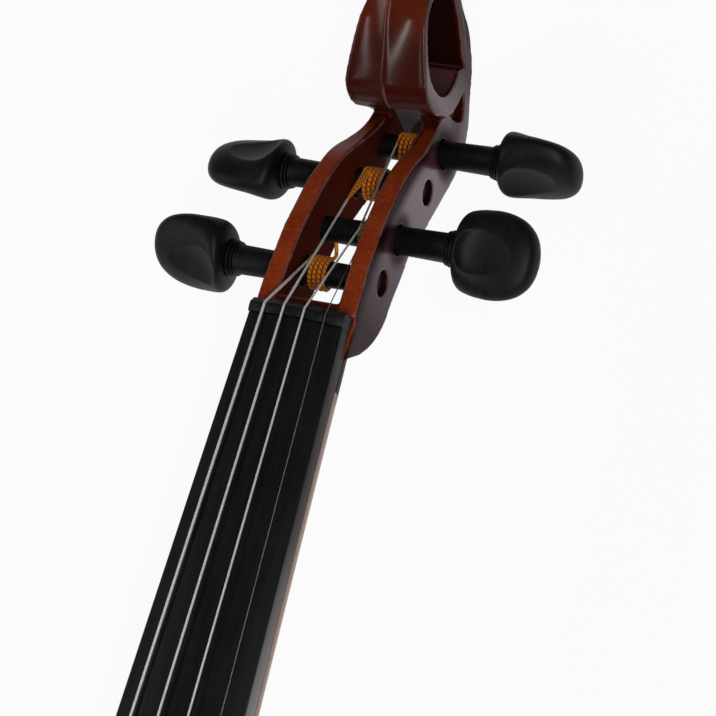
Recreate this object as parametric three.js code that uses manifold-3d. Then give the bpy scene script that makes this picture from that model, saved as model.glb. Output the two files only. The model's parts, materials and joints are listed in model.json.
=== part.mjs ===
// Electric violin, built lying on its back: X to the treble side, Y from the tail to the scroll, Z up
// out of the front. All lengths are in millimetres. The pieces are drawn in the fingerboard's frame,
// with Y = 0 at the nut and Z = 0 on the crown of the board, and the whole group is then set on its back.
import * as THREE from 'three';
import { mergeVertices } from 'three/addons/utils/BufferGeometryUtils.js';
import Module from 'manifold-3d';

const wasm = await Module();
wasm.setup();

// Driving dimensions

const gap = 0.3;                 // seating and running clearance between cut pieces
const overrun = 2;               // how far every cutter runs past what it cuts
const weld = 0.0005;             // distance at which vertices are merged

const stringLength = 328;
const neckLength = 130;

const board = { length: 270, nutWidth: 24, endWidth: 42.6, radius: 42, edge: 5, hollow: 3.2, solidEnd: 4 };
const nut = { length: 3.8, crest: 0.9, flat: 2.3, fall: 1.6 };
const neck = { depth: 12.7, rootDepth: 13.8, heelDepth: 44, heelStart: 106, intoHead: 8, headHalf: 11.4 };

const head = {
  length: 99.3, depth: 48, nutWidth: 25.3, cheek: 4.7, start: 4.1, cavityShare: 0.0665, throatShare: 0.6224,
  throatBackShare: 0.6606, throatDepthShare: 0.4583,
};
const scroll = { pocket: 2.2, pocketAt: 0.74, ridge: 0.4, sag: 0.22, fluteSteps: 30, fluteSides: 7 };
const pegShape = {
  bigRadius: 3.45, smallRadius: 3, exposed: 12.6, collar: 2.9, collarRadius: 4.6, groove: 0.6,
  headLength: 20.4, headHalf: 10.7, headThick: 5.3, recess: 1.2, chamfer: 0.7, sides: 16,
};
const winding = { loopSteps: 16, sides: 6, swing: 3 };

// Each string has its gauge, its peg's place in shares of the head's length and depth, how far the peg
// is turned in degrees, and its silk winding: where it starts, as a share of the head's half width at the
// nut, its loops, its thickness and its pitch.
const strings = [
  {
    name: 'g', gauge: 0.85, side: -1, placeShares: [0.1682, 0.35], turn: 54, startShare: -0.474,
    loops: 4.5, wire: 0.8, pitch: 1.25,
  },
  {
    name: 'd', gauge: 0.8, side: -1, placeShares: [0.4612, 0.6375], turn: -40, startShare: -0.38,
    loops: 4.5, wire: 0.8, pitch: 1.25,
  },
  {
    name: 'a', gauge: 0.7, side: 1, placeShares: [0.5891, 0.7646], turn: 74, startShare: -0.182,
    loops: 4, wire: 0.8, pitch: 1.25,
  },
  {
    name: 'e', gauge: 0.4, side: 1, placeShares: [0.2941, 0.425], turn: 18, startShare: 0.253,
    loops: 3, wire: 0.55, pitch: 1,
  },
].map((string) => ({
  ...string,
  height: string.placeShares[0] * head.length,
  depth: string.placeShares[1] * head.depth,
  start: string.startShare * 0.5 * head.nutWidth,
}));
const spread = { nut: 15.6, bridge: 34, tail: 32.4, sides: 8, bend: 0.8, pegStop: 1.3 };

const body = {
  top: 27, back: 69, neckTop: 15.5, neckBack: 56, ramp: 180, backRise: 95, neckHalf: 22, waistHalf: 30,
  tailHalf: 46, shoulder: 34, waistStart: 205, waistEnd: 277, tailStart: 306, tailCorner: 5, edge: 5,
  edgeSteps: 2,
};
const rim = {
  width: 11, height: 16, drop: 5, chamfer: 3, steps: 11, upperHalf: 84, waistHalf: 56, lowerHalf: 104,
  joinUpper: 20, upper: 78, waist: 170, lower: 284, joinLower: 343,
};
const bridge = {
  foot: 4.6, crown: 1.6, width: 41.5, crest: 6.3, topHalf: 18.3, heart: 2.9, kidneyLong: 4.4,
  kidneyShort: 2.6, kidneyTilt: 30,
};
const pickup = { length: 44, width: 6, height: 2, lead: 0.8, leadX: -9, leadBack: 13 };

const tail = {
  front: 54, length: 92, frontHalf: 22.5, rearHalf: 12, radius: 42, frontCrest: 5, rearCrest: 14,
  frontThick: 13, rearThick: 8.5, wall: 2.6, solidFront: 26, solidRear: 12, slot: 4.2, slotLength: 14.5,
  armSlot: 8, steps: 6,
};
const tuner = {
  pivotBack: 8.5, arm: 10, armEnd: 1.5, rise: 6, hookAhead: 3.6, hook: 1.4, width: 3.4, armHalf: 1.1,
  pin: 1, pinEnd: 1.5, stem: 1.2, knobRadius: 3.5, knobHeight: 4.6, lift: 2.4, teeth: 12, tooth: 0.35,
  socket: 3, ballRadius: 1.8, ballWidth: 3.2, ballGap: 1, notch: 1.6, sink: 1.8,
};
const saddle = { width: 36, length: 6, height: 7.5, round: 2.2 };
const gut = { length: 11, radius: 1.1, spacing: 10, sides: 8, socket: 8, turnSteps: 8 };
const endButton = {
  pin: 3.6, pinLength: 18, neck: 3.4, neckLength: 4.4, head: 6.5, headLength: 5.6, depth: 46,
};

const rest = {
  length: 80, width: 62, thick: 10, lift: 8, dish: 120, dishDepth: 4.4, x: 64, back: 438, edge: 2,
  padX: 38, padBack: 452, pad: 12, cork: 1.5, rimAt: 0.62,
};
const clamp = {
  plate: 2, depth: 6, width: 34, rod: 1.3, rodSpacing: 24, barrel: 2.8, barrelLength: 12, engage: 4,
  toe: 13, jaw: 3, cork: 1.5,
};
const cavity = { start: 208, length: 62, half: 18, depth: 24, cover: 2, lap: 5, inset: 0.6 };
const coverScrew = {
  head: 2.1, headDepth: 1.3, shank: 1.1, length: 8, inset: 2.6, slot: 0.6, slotDepth: 0.5, sides: 14,
};
const knob = {
  radius: 6.5, height: 10, shaft: 2.9, lift: 0.8, flutes: 12, flute: 0.45, volume: 215, tone: 236, depth: 50,
};
const slider = { back: 254, length: 4, height: 3, travel: 3, proud: 1.8 };
const phones = { back: 264.5, flange: 3.6, barrel: 2.9, bore: 1.8, proud: 1.8 };
const socket = { x: 19, depth: 47, flange: 9.2, barrel: 6, bore: 3.3, proud: 2.4, length: 26, channel: 3.5 };
const cell = { width: 26, height: 17, length: 48, edge: 2 };
const drawer = {
  x: 27, depth: 47, wall: 1.5, front: 2.4, pull: 1.6, pullWidth: 14, pullHeight: 4, channel: 2.5,
};
const circuit = {
  thick: 1.6, length: 52, width: 26, lift: 4, pot: 6.5, potDepth: 7, chip: 9, chipHeight: 2, reach: 11,
};

// Colours and finishes

const finishes = {
  lacquer: [0x5a1a0e, 0.18, 0],
  ebony: [0x141414, 0.5, 0],
  silk: [0xd9751a, 0.75, 0],
  silkGreen: [0x8d8a34, 0.75, 0],
  wound: [0xc4c4c4, 0.3, 1],
  plainSteel: [0x9a9a98, 0.3, 1],
  maple: [0xd2a468, 0.55, 0],
  blackMetal: [0x1b1b1c, 0.4, 1],
  plastic: [0x18181a, 0.45, 0],
  cork: [0xa97b4c, 0.9, 0],
  fibreglass: [0x1f5a35, 0.6, 0],
  cellCase: [0x8f8f92, 0.4, 0],
};

// Making and joining solids

function signedVolume(position, index) {
  const [a, b, c] = [new THREE.Vector3(), new THREE.Vector3(), new THREE.Vector3()];
  let sum = 0;
  for (let i = 0; i < index.length; i += 3) {
    a.fromBufferAttribute(position, index[i]);
    b.fromBufferAttribute(position, index[i + 1]);
    c.fromBufferAttribute(position, index[i + 2]);
    sum += a.dot(b.cross(c));
  }
  return sum;
}

function solid(geometry) {
  const bare = geometry.clone();
  bare.deleteAttribute('normal');
  bare.deleteAttribute('uv');
  const merged = mergeVertices(bare, weld);
  const index = new Uint32Array(merged.index.array);
  if (signedVolume(merged.attributes.position, index) < 0) {
    for (let i = 0; i < index.length; i += 3) [index[i], index[i + 1]] = [index[i + 1], index[i]];
  }
  const vertProperties = new Float32Array(merged.attributes.position.array);
  return new wasm.Manifold(new wasm.Mesh({ numProp: 3, vertProperties, triVerts: index }));
}

function geometryOf(shape) {
  const mesh = shape.getMesh();
  const geometry = new THREE.BufferGeometry();
  geometry.setAttribute('position', new THREE.BufferAttribute(mesh.vertProperties, 3));
  geometry.setIndex(new THREE.BufferAttribute(mesh.triVerts, 1));
  geometry.computeVertexNormals();
  return geometry;
}

const join = (first, ...others) => others.reduce((sum, other) => sum.add(other), first);
const cut = (first, ...tools) => tools.reduce((left, tool) => left.subtract(tool), first);
const common = (first, ...others) => others.reduce((sum, other) => sum.intersect(other), first);

const xAxis = new THREE.Vector3(1, 0, 0);
const yAxis = new THREE.Vector3(0, 1, 0);
const zAxis = new THREE.Vector3(0, 0, 1);
const planes = {
  x: new THREE.Matrix4().makeBasis(yAxis, zAxis, xAxis),
  y: new THREE.Matrix4().makeBasis(xAxis, zAxis, yAxis),
  z: new THREE.Matrix4(),
};

// A prism along an axis between two values. Along X its outline is drawn in Y and Z, along Y in X and Z,
// and along Z in X and Y.
function prism(outline, axis, from, to) {
  const shape = new THREE.Shape(outline.map(([a, b]) => new THREE.Vector2(a, b)));
  const geometry = new THREE.ExtrudeGeometry(shape, { depth: to - from, bevelEnabled: false });
  return solid(geometry.translate(0, 0, from).applyMatrix4(planes[axis]));
}

function box(low, high) {
  const size = high.map((value, i) => value - low[i]);
  const centre = high.map((value, i) => 0.5 * (value + low[i]));
  return solid(new THREE.BoxGeometry(...size).translate(...centre));
}

function smooth(points, steps) {
  const curve = new THREE.CatmullRomCurve3(points.map(([a, b]) => new THREE.Vector3(a, b, 0)));
  return curve.getPoints(steps).map((p) => [p.x, p.y]);
}

function arc(a, b, radius, from, to, steps) {
  const angle = (i) => THREE.MathUtils.degToRad(from + (to - from) * i / steps);
  const at = (i) => [a + radius * Math.cos(angle(i)), b + radius * Math.sin(angle(i))];
  return Array.from({ length: steps + 1 }, (_, i) => at(i));
}

const circle = (a, b, radius, sides) => arc(a, b, radius, 0, 360, sides).slice(1);

// A turned piece, given by pairs of radius and distance along its axis from a start in a direction
function turned(profile, start, direction, sides) {
  const points = profile.map(([radius, along]) => new THREE.Vector2(radius, along));
  const turn = new THREE.Quaternion().setFromUnitVectors(yAxis, new THREE.Vector3(...direction).normalize());
  return solid(new THREE.LatheGeometry(points, sides).applyQuaternion(turn).translate(...start));
}

function rod(from, to, radius, sides) {
  const along = to.map((value, i) => value - from[i]);
  const length = Math.hypot(...along);
  return turned([[0, 0], [radius, 0], [radius, length], [0, length]], from, along, sides);
}

// Rings of equal count joined into one closed skin, with fans across their convex ends
function loft(rings) {
  const count = rings[0].length;
  const index = [];
  for (let r = 0; r + 1 < rings.length; r++) {
    for (let i = 0; i < count; i++) {
      const [a, b] = [r * count + i, r * count + (i + 1) % count];
      index.push(a, b, a + count, b, b + count, a + count);
    }
  }
  const last = (rings.length - 1) * count;
  for (let i = 1; i + 1 < count; i++) index.push(0, i + 1, i, last, last + i, last + i + 1);
  const geometry = new THREE.BufferGeometry();
  geometry.setAttribute('position', new THREE.Float32BufferAttribute(rings.flat(2), 3));
  geometry.setIndex(index);
  return solid(geometry);
}

// A section of [side, up] pairs carried along points without twisting
function sweep(points, section, up = zAxis) {
  const path = points.map((p) => new THREE.Vector3(...p));
  let side = null;
  return loft(path.map((point, i) => {
    const along = path[Math.min(i + 1, path.length - 1)].clone().sub(path[Math.max(i - 1, 0)]).normalize();
    side = (side ? side.addScaledVector(along, -side.dot(along)) : along.clone().cross(up)).normalize();
    const rise = side.clone().cross(along);
    const at = ([a, b]) => point.clone().addScaledVector(side, a).addScaledVector(rise, b).toArray();
    return section.map(at);
  }));
}

const tube = (points, radius, sides, up) => sweep(points, circle(0, 0, radius, sides), up);

// Sizes and places that several pieces share

const arcDrop = (x, radius) => radius - Math.sqrt(radius * radius - x * x);
const between = (from, to, share) => from + (to - from) * share;
const ease = (share) => share * share * (3 - 2 * share);
const span = (y, from, to) => Math.min(Math.max((y - from) / (to - from), 0), 1);

const root = -neckLength;
const bridgeY = -stringLength;
const tailFront = bridgeY - tail.front;
const tailRear = tailFront - tail.length;
const tailEnd = tailRear - gut.length;
const bodyTop = -body.top;
const bodyBack = -body.back;
const pickupTop = bodyTop + pickup.height;

const boardHalf = (y) => 0.5 * between(board.nutWidth, board.endWidth, -y / board.length);
const seatDepth = (width) => arcDrop(0.5 * width, board.radius) + board.edge;
const boardSeat = (y) => -between(seatDepth(board.nutWidth), seatDepth(board.endWidth), -y / board.length);

// The head's width along its length, in shares of its length and of its width at the nut
const widthShares = [
  [-0.083, 0.98], [0.0413, 1], [0.564, 0.889], [0.6445, 0.862], [0.672, 0.818], [0.705, 0.77],
  [0.765, 0.698], [0.826, 0.636], [0.906, 0.573], [1.03, 0.525],
];
const headWidths = widthShares.map(([a, b]) => [a * head.length, b * head.nutWidth]);
function headHalf(y) {
  const next = headWidths.findIndex(([place]) => place >= y);
  const [[y0, width0], [y1, width1]] = [headWidths[next - 1], headWidths[next]];
  return 0.5 * between(width0, width1, span(y, y0, y1));
}

const order = (string) => strings.indexOf(string) / (strings.length - 1) - 0.5;
const nutPoint = (string) => {
  const x = spread.nut * order(string);
  return [x, nut.flat, nut.crest - arcDrop(x, board.radius)];
};
const bridgePoint = (string) => {
  const x = spread.bridge * order(string);
  return [x, bridgeY, bridge.crest - arcDrop(x, board.radius)];
};
const tailCrest = (y) => -between(tail.frontCrest, tail.rearCrest, span(y, tailFront, tailRear));
const pivotY = tailFront - tuner.pivotBack;
const tailPoint = (string) => {
  const x = spread.tail * order(string);
  return [x, pivotY, -tail.frontCrest - arcDrop(x, tail.radius) - tuner.sink];
};

function shaftRadius(peg, x) {
  const share = 0.5 + 0.5 * peg.side * x / headHalf(peg.height);
  return between(pegShape.smallRadius, pegShape.bigRadius, share);
}

// Where a string coming from the nut meets its winding, on the front of the peg
function touch(string) {
  const radius = shaftRadius(string, string.start) + gap + 0.5 * string.wire;
  const [, y, z] = nutPoint(string);
  const [toY, toZ] = [y - string.height, z + string.depth];
  const angle = Math.atan2(toZ, toY) - Math.acos(radius / Math.hypot(toY, toZ));
  const y2 = string.height + radius * Math.cos(angle);
  return { radius, angle, y: y2, z: radius * Math.sin(angle) - string.depth };
}

// Neck, heel, pegbox and scroll, carved from one piece

const onHead = (shares) => shares.map(([a, b]) => [a * head.length, -b * head.depth]);
const cheekShares = [
  [0.0416, 0.1109], [0.1511, 0.1251], [0.2513, 0.1564], [0.3023, 0.1877], [0.3722, 0.2398], [0.4232, 0.292],
  [0.4836, 0.3754], [0.5337, 0.4787], [0.579, 0.5621], [0.614, 0.6143],
];
const lipShares = [
  [0.6304, 0.6146], [0.6274, 0.4896],
];
const frontShares = [
  [0.6274, 0.425, 0.0187], [0.6314, 0.3396, 0.0292], [0.6485, 0.2625, 0.0375], [0.6727, 0.2208, 0.0396],
  [0.7029, 0.1812, 0.0438], [0.7432, 0.1229, 0.0583], [0.7835, 0.0667, 0.0833], [0.8167, 0.0375, 0.1042],
  [0.851, 0.0271, 0.1125], [0.8912, 0.05, 0.1042], [0.9315, 0.1083, 0.0833], [0.9668, 0.1938, 0.0583],
  [0.9909, 0.2958, 0.0375], [1, 0.4062, 0.0229], [0.996, 0.5208, 0.0146], [0.9829, 0.6312, -0.0062],
];
const chinShares = [
  [0.9627, 0.7271], [0.9396, 0.8104], [0.9134, 0.8833], [0.8832, 0.9417], [0.8489, 0.9792], [0.7956, 0.9979],
  [0.7392, 1], [0.6747, 0.9917], [0.6244, 0.975], [0.574, 0.9437], [0.5237, 0.9], [0.4632, 0.8375],
  [0.3927, 0.75], [0.3021, 0.625], [0.2115, 0.5542], [0.1611, 0.5292], [0.0906, 0.4896], [0.0352, 0.4167],
  [-0.0101, 0.3125], [-0.0352, 0.2083], [-0.0493, 0.1521],
];
const eyeFrontShares = [
  [0.8822, 0.2083], [0.853, 0.1833], [0.8298, 0.1771], [0.8046, 0.1812], [0.7724, 0.2042], [0.7503, 0.2271],
  [0.7251, 0.2583], [0.7069, 0.2958], [0.6939, 0.3479], [0.6878, 0.4104], [0.6888, 0.475], [0.6979, 0.5438],
  [0.719, 0.6229], [0.7482, 0.6854], [0.7764, 0.7271], [0.8157, 0.7646],
];
const eyeBackShares = [
  [0.8449, 0.8479], [0.861, 0.7917], [0.8812, 0.7438], [0.9084, 0.6771], [0.9305, 0.5917], [0.9496, 0.4917],
  [0.9567, 0.3958], [0.9466, 0.3021], [0.9215, 0.2396], [0.8822, 0.2083],
];
const pocketShares = [
  [0.6908, 0.8333], [0.7039, 0.8833], [0.7261, 0.8958], [0.7553, 0.9], [0.7845, 0.8812], [0.7664, 0.8583],
  [0.7311, 0.8104], [0.7019, 0.7687], [0.6918, 0.7771],
];
const neckShares = [0, 0.25, 0.5, 0.75, 1];
const heelSteps = 7;
const heelPower = 2.6;

function headOutline() {
  return [
    ...smooth(onHead(cheekShares), 20),
    ...onHead(lipShares),
    ...smooth(onHead(frontShares), scroll.fluteSteps),
    ...smooth(onHead(chinShares), 40),
    [head.start, boardSeat(0)],
  ];
}

function widthPrism(low, high) {
  const places = headWidths.map(([y]) => y);
  const right = places.map((y) => [0.5 * headWidths[places.indexOf(y)][1], y]);
  const left = right.map(([x, y]) => [-x, y]).reverse();
  return prism([...right, ...left], 'z', low, high);
}

function neckRing(y, half, depth) {
  const seat = boardSeat(Math.min(y, 0));
  return arc(0, 0, 1, 180, 360, 14).map(([a, b]) => [half * a, y, seat + depth * b]);
}

function neckShaft() {
  const start = -neck.heelStart;
  const rings = [neckRing(neck.intoHead, neck.headHalf, neck.depth)];
  for (const share of neckShares) {
    const y = start * share;
    rings.push(neckRing(y, boardHalf(y), between(neck.depth, neck.rootDepth, share)));
  }
  for (let i = 1; i <= heelSteps; i++) {
    const share = i / heelSteps;
    const y = between(start, root, share);
    rings.push(neckRing(y, boardHalf(y), between(neck.rootDepth, neck.heelDepth, share ** heelPower)));
  }
  return loft(rings);
}

// Two hollows run down the front of the scroll from a ridge in its middle to a lower rim at each side. The
// third share of the front's table is how far the rim lies below the ridge.
function flutes() {
  const curve = new THREE.CatmullRomCurve3(
    frontShares.map(([a, b, c]) => new THREE.Vector3(a * head.length, -b * head.depth, c * head.depth)));
  const line = curve.getPoints(scroll.fluteSteps);
  line.unshift(line[0].clone().lerp(line[1], -overrun));
  return [-1, 1].map((side) => loft(line.map((point, i) => {
    const [from, to] = [line[Math.max(i - 1, 0)], line[Math.min(i + 1, line.length - 1)]];
    const step = Math.hypot(to.x - from.x, to.y - from.y);
    const [outY, outZ] = [(from.y - to.y) / step, (to.x - from.x) / step];
    const half = headHalf(point.x);
    const deep = Math.max(point.z, 0);
    const hollow = Array.from({ length: scroll.fluteSides + 1 }, (_, k) => {
      const share = k / scroll.fluteSides;
      const sag = 4 * scroll.sag * deep * share * (1 - share);
      return [between(scroll.ridge, half, share), -point.z * share - sag];
    });
    const past = half + overrun;
    const section = [[scroll.ridge, overrun], ...hollow, [past, -point.z], [past, overrun]];
    return section.map(([a, b]) => [side * a, point.x + b * outY, point.y + b * outZ]);
  })));
}

function pegHoles(peg) {
  const half = headHalf(peg.height);
  const far = -peg.side * half;
  const at = (x) => [x, peg.height, -peg.depth];
  const widest = pegShape.bigRadius + 2 * gap;
  const through = rod(at(-half - overrun), at(half + overrun), widest, pegShape.sides);
  const farEnd = far - peg.side * overrun;
  const farInner = far + peg.side * (head.cheek + overrun);
  const narrow = rod(at(farEnd), at(farInner), pegShape.smallRadius + 2 * gap, pegShape.sides);
  const flare = turned([
    [0, 0], [pegShape.smallRadius + 2 * gap + pegShape.chamfer, 0],
    [pegShape.smallRadius + 2 * gap, pegShape.chamfer], [0, pegShape.chamfer],
  ], at(far - peg.side * weld), [peg.side, 0, 0], pegShape.sides);
  const nearSide = box([-half - overrun, 0, -head.depth], [half + overrun, head.length, overrun])
    .intersect(through);
  const nearHalf = peg.side > 0
    ? box([0, 0, -head.depth], [half + overrun, head.length, overrun])
    : box([-half - overrun, 0, -head.depth], [0, head.length, overrun]);
  return [nearSide.intersect(nearHalf), narrow, flare];
}

function neckAndScroll() {
  const deep = head.depth + overrun;
  const plate = common(
    prism(headOutline(), 'x', -0.5 * head.nutWidth, 0.5 * head.nutWidth), widthPrism(-deep, overrun));
  const inner = (y) => headHalf(y) - head.cheek;
  const cavityStart = head.cavityShare * head.length;
  const round = inner(head.throatShare * head.length);
  const mouth = (throat) => [
    [inner(cavityStart), cavityStart],
    ...arc(0, 0, 1, 0, 180, 8).map(([a, b]) => [a * round, throat - head.cheek + b * head.cheek]),
    [-inner(cavityStart), cavityStart],
  ];
  const cavityCut = join(
    prism(mouth(head.throatShare * head.length), 'z', -deep, overrun),
    prism(mouth(head.throatBackShare * head.length), 'z', -deep, -head.throatDepthShare * head.depth));
  const side = 0.5 * head.nutWidth + overrun;
  const eyeLine = [...smooth(onHead(eyeFrontShares), 22), ...smooth(onHead(eyeBackShares), 20).slice(0, -1)];
  const eye = prism(eyeLine, 'x', -side, side);
  const pocketLine = smooth(onHead([...pocketShares, pocketShares[0]]), 16).slice(1);
  const pocketFrom = headHalf(scroll.pocketAt * head.length) - scroll.pocket;
  const pockets = [prism(pocketLine, 'x', pocketFrom, side), prism(pocketLine, 'x', -side, -pocketFrom)];
  return cut(
    join(plate, neckShaft()), cavityCut, eye, ...pockets, ...flutes(),
    ...strings.flatMap(pegHoles));
}

// Fingerboard and nut

function fingerboard() {
  const ring = (y) => {
    const half = boardHalf(y);
    const top = arc(0, -board.radius, board.radius, 90 + edgeAngle(half), 90 - edgeAngle(half), 10);
    return [[-half, y, boardSeat(y)], ...top.map(([x, z]) => [x, y, z]), [half, y, boardSeat(y)]];
  };
  const edgeAngle = (half) => THREE.MathUtils.radToDeg(Math.asin(half / board.radius));
  const blank = loft([ring(0), ring(-0.5 * board.length), ring(-board.length)]);
  const low = root - board.solidEnd;
  const scoopHalf = boardHalf(low) - board.solidEnd;
  const radius = (scoopHalf ** 2 + board.hollow ** 2) / (2 * board.hollow);
  const centre = (y) => [0, y, boardSeat(y) + board.hollow - radius];
  const scoop = rod(centre(-board.length - overrun), centre(low), radius, 96);
  return cut(blank, scoop);
}

function stringGrooves(radiusOf) {
  return strings.map((string) => {
    const [x, y, z] = nutPoint(string);
    const radius = radiusOf(string);
    const end = touch(string);
    const reach = 2 * nut.length / (end.y - y);
    const beyond = [between(x, string.start, reach), between(y, end.y, reach), between(z, end.z, reach)];
    return join(rod([x, -overrun, z], [x, y, z], radius, 12), rod([x, y, z], beyond, radius, 12));
  });
}

function nutBlock() {
  const half = 0.5 * board.nutWidth;
  const angle = THREE.MathUtils.radToDeg(Math.asin(half / board.radius));
  const ring = (y, crest) => {
    const top = arc(0, crest - board.radius, board.radius, 90 + angle, 90 - angle, 12);
    return [[-half, y, boardSeat(0)], ...top.map(([x, z]) => [x, y, z]), [half, y, boardSeat(0)]];
  };
  const blank = loft([ring(0, nut.crest - gap), ring(0.5 * nut.flat, nut.crest), ring(nut.flat, nut.crest),
    ring(nut.length, nut.crest - nut.fall)]);
  return cut(blank, ...stringGrooves((string) => 0.5 * string.gauge + gap));
}

// Pegs and their windings

const headSections = [
  [0, 0.42, 0.8], [0.04, 0.62, 1.05], [0.1, 0.8, 1.15], [0.2, 0.93, 1.08], [0.34, 1, 0.86],
  [0.5, 0.99, 0.76], [0.66, 0.93, 0.74], [0.8, 0.8, 0.7], [0.91, 0.59, 0.56], [0.98, 0.3, 0.32],
  [1, 0.12, 0.14],
];
const collarShares = [
  [0, 0.6], [0.1, 1], [0.28, 1], [0.36, 0], [0.42, 1], [0.6, 1], [0.68, 0], [0.74, 1], [1, 1],
];

function peg(string) {
  const { side, height, depth } = string;
  const half = headHalf(height);
  const start = [-side * (half - pegShape.recess), height, -depth];
  const shaftEnd = 2 * half - pegShape.recess + pegShape.exposed;
  const collarEnd = shaftEnd + pegShape.collar;
  const growth = (pegShape.bigRadius - pegShape.smallRadius) / (2 * half);
  const endRadius = pegShape.smallRadius + growth * (shaftEnd + pegShape.recess);
  const rings = collarShares.map(([share, rise]) => [
    between(pegShape.collarRadius - pegShape.groove, pegShape.collarRadius + pegShape.groove * share, rise),
    shaftEnd + pegShape.collar * share,
  ]);
  const shaft = turned([
    [0, 0], [pegShape.smallRadius, 0], [endRadius, shaftEnd], ...rings, [0, collarEnd],
  ], start, [side, 0, 0], pegShape.sides);
  const from = start[0] + side * (collarEnd - gap);
  const turn = THREE.MathUtils.degToRad(string.turn);
  const ring = ([along, wide, thick]) => circle(0, 0, 1, pegShape.sides).map(([a, b]) => {
    const [u, v] = [a * wide * pegShape.headHalf, b * thick * pegShape.headThick];
    return [
      from + side * along * pegShape.headLength,
      height + u * Math.cos(turn) - v * Math.sin(turn),
      u * Math.sin(turn) + v * Math.cos(turn) - depth,
    ];
  });
  return join(shaft, loft(headSections.map(ring)));
}

// One unbroken helix from the touching point round the peg, with a straight end one wire long
function windingPath(string) {
  const { radius, angle } = touch(string);
  const steps = Math.round(string.loops * winding.loopSteps);
  const at = (i) => {
    const turn = angle - 2 * Math.PI * i / winding.loopSteps;
    const x = string.start + string.pitch * i / winding.loopSteps;
    return [x, string.height + radius * Math.cos(turn), radius * Math.sin(turn) - string.depth];
  };
  const points = Array.from({ length: steps + 1 }, (_, i) => at(i));
  const lead = (from, next) => {
    const step = Math.hypot(...from.map((value, i) => value - next[i]));
    return from.map((value, i) => value + (value - next[i]) * string.wire / step);
  };
  return [lead(points[0], points[1]), ...points, lead(points[steps], points[steps - 1])];
}

const windingOf = (string) => tube(windingPath(string), 0.5 * string.wire, winding.sides, xAxis);

// The least gap of a winding to itself, measured between points more than half a loop apart
function leastGap(string) {
  const points = windingPath(string).map((p) => new THREE.Vector3(...p));
  let least = Infinity;
  points.forEach((a, i) => points.slice(i + 0.5 * winding.loopSteps).forEach((b) => {
    least = Math.min(least, a.distanceTo(b) - string.wire);
  }));
  return least;
}

// Strings, from just clear of their windings over the nut and the bridge to the ball in the tailpiece

function stringSolid(string) {
  const radius = 0.5 * string.gauge;
  const end = touch(string);
  const [nutX, nutY, nutZ] = nutPoint(string);
  const [bridgeX, , bridgeZ] = bridgePoint(string);
  const [tailX, , tailZ] = tailPoint(string);
  const swept = end.radius + 0.5 * string.wire + string.wire + gap + spread.pegStop;
  const back = Math.sqrt(swept ** 2 - end.radius ** 2);
  const free = Math.hypot(string.start - nutX, end.y - nutY, end.z - nutZ);
  const stop = 1 - back / free;
  const hookY = pivotY + tuner.hookAhead;
  const ballY = hookY - tuner.ballGap - tuner.ballRadius;
  const line = tube([
    [between(nutX, string.start, stop), between(nutY, end.y, stop), between(nutZ, end.z, stop)],
    [nutX, nutY, nutZ], [nutX, 0.5 * nutY, nutZ],
    [bridgeX, bridgeY + spread.bend, bridgeZ], [bridgeX, bridgeY - spread.bend, bridgeZ],
    [tailX, tailFront, tailZ], [tailX, ballY, tailZ],
  ], radius, spread.sides);
  const ballHalf = 0.5 * tuner.ballWidth;
  const ball = rod([tailX - ballHalf, ballY, tailZ], [tailX + ballHalf, ballY, tailZ], tuner.ballRadius, 12);
  return join(line, ball);
}

// The solid centre body and its two open side rims

function bodySection(y) {
  const topAt = -between(body.neckTop, body.top, ease(span(y, root, root - body.ramp)));
  const backAt = -between(body.neckBack, body.back, ease(span(y, root, root - body.backRise)));
  const slope = span(y, root - body.shoulder, root - body.waistStart);
  const flare = ease(span(y, root - body.waistEnd, root - body.tailStart));
  const half = between(between(body.neckHalf, body.waistHalf, slope), body.tailHalf, flare);
  return { topAt, backAt, half };
}

const bodyPlaces = [
  0, body.shoulder, 0.25 * body.ramp, 0.4 * body.ramp, 0.55 * body.ramp, 0.7 * body.ramp, 0.85 * body.ramp,
  body.ramp,
  body.waistStart, body.waistEnd, 0.8 * body.waistEnd + 0.2 * body.tailStart,
  0.6 * body.waistEnd + 0.4 * body.tailStart, 0.4 * body.waistEnd + 0.6 * body.tailStart,
  0.2 * body.waistEnd + 0.8 * body.tailStart, body.tailStart,
];

function bodyBlock() {
  const ring = (y, narrow) => {
    const { topAt, backAt, half } = bodySection(y);
    const [x, low, high] = [half - narrow - body.edge, backAt + body.edge, topAt - body.edge];
    const corner = (side, up, from) => arc(side, up, body.edge, from, from + 90, body.edgeSteps);
    return [
      ...corner(x, high, 0), ...corner(-x, high, 90), ...corner(-x, low, 180), ...corner(x, low, 270),
    ].map(([a, b]) => [a, y, b]);
  };
  const rings = bodyPlaces.map((place) => ring(root - place, 0));
  for (const [a, b] of arc(0, 0, body.tailCorner, 0, 90, 4)) {
    rings.push(ring(tailEnd + body.tailCorner - b, body.tailCorner - a));
  }
  return cut(loft(rings), ...cavityCuts(), ...hardwareHoles());
}

const cavityLow = root - cavity.start - cavity.length;
const cavityHigh = root - cavity.start;
const coverTop = bodyBack + cavity.inset + cavity.cover;

function cavityCuts() {
  const pocket = box([-cavity.half, cavityLow, bodyBack - overrun],
    [cavity.half, cavityHigh, coverTop + cavity.depth]);
  const ledge = box([-cavity.half - cavity.lap, cavityLow - cavity.lap, bodyBack - overrun],
    [cavity.half + cavity.lap, cavityHigh + cavity.lap, coverTop + gap]);
  const tray = trayBox(gap);
  return [pocket, ledge, box([tray.low[0], tailEnd - overrun, tray.low[2]], tray.high)];
}

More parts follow.
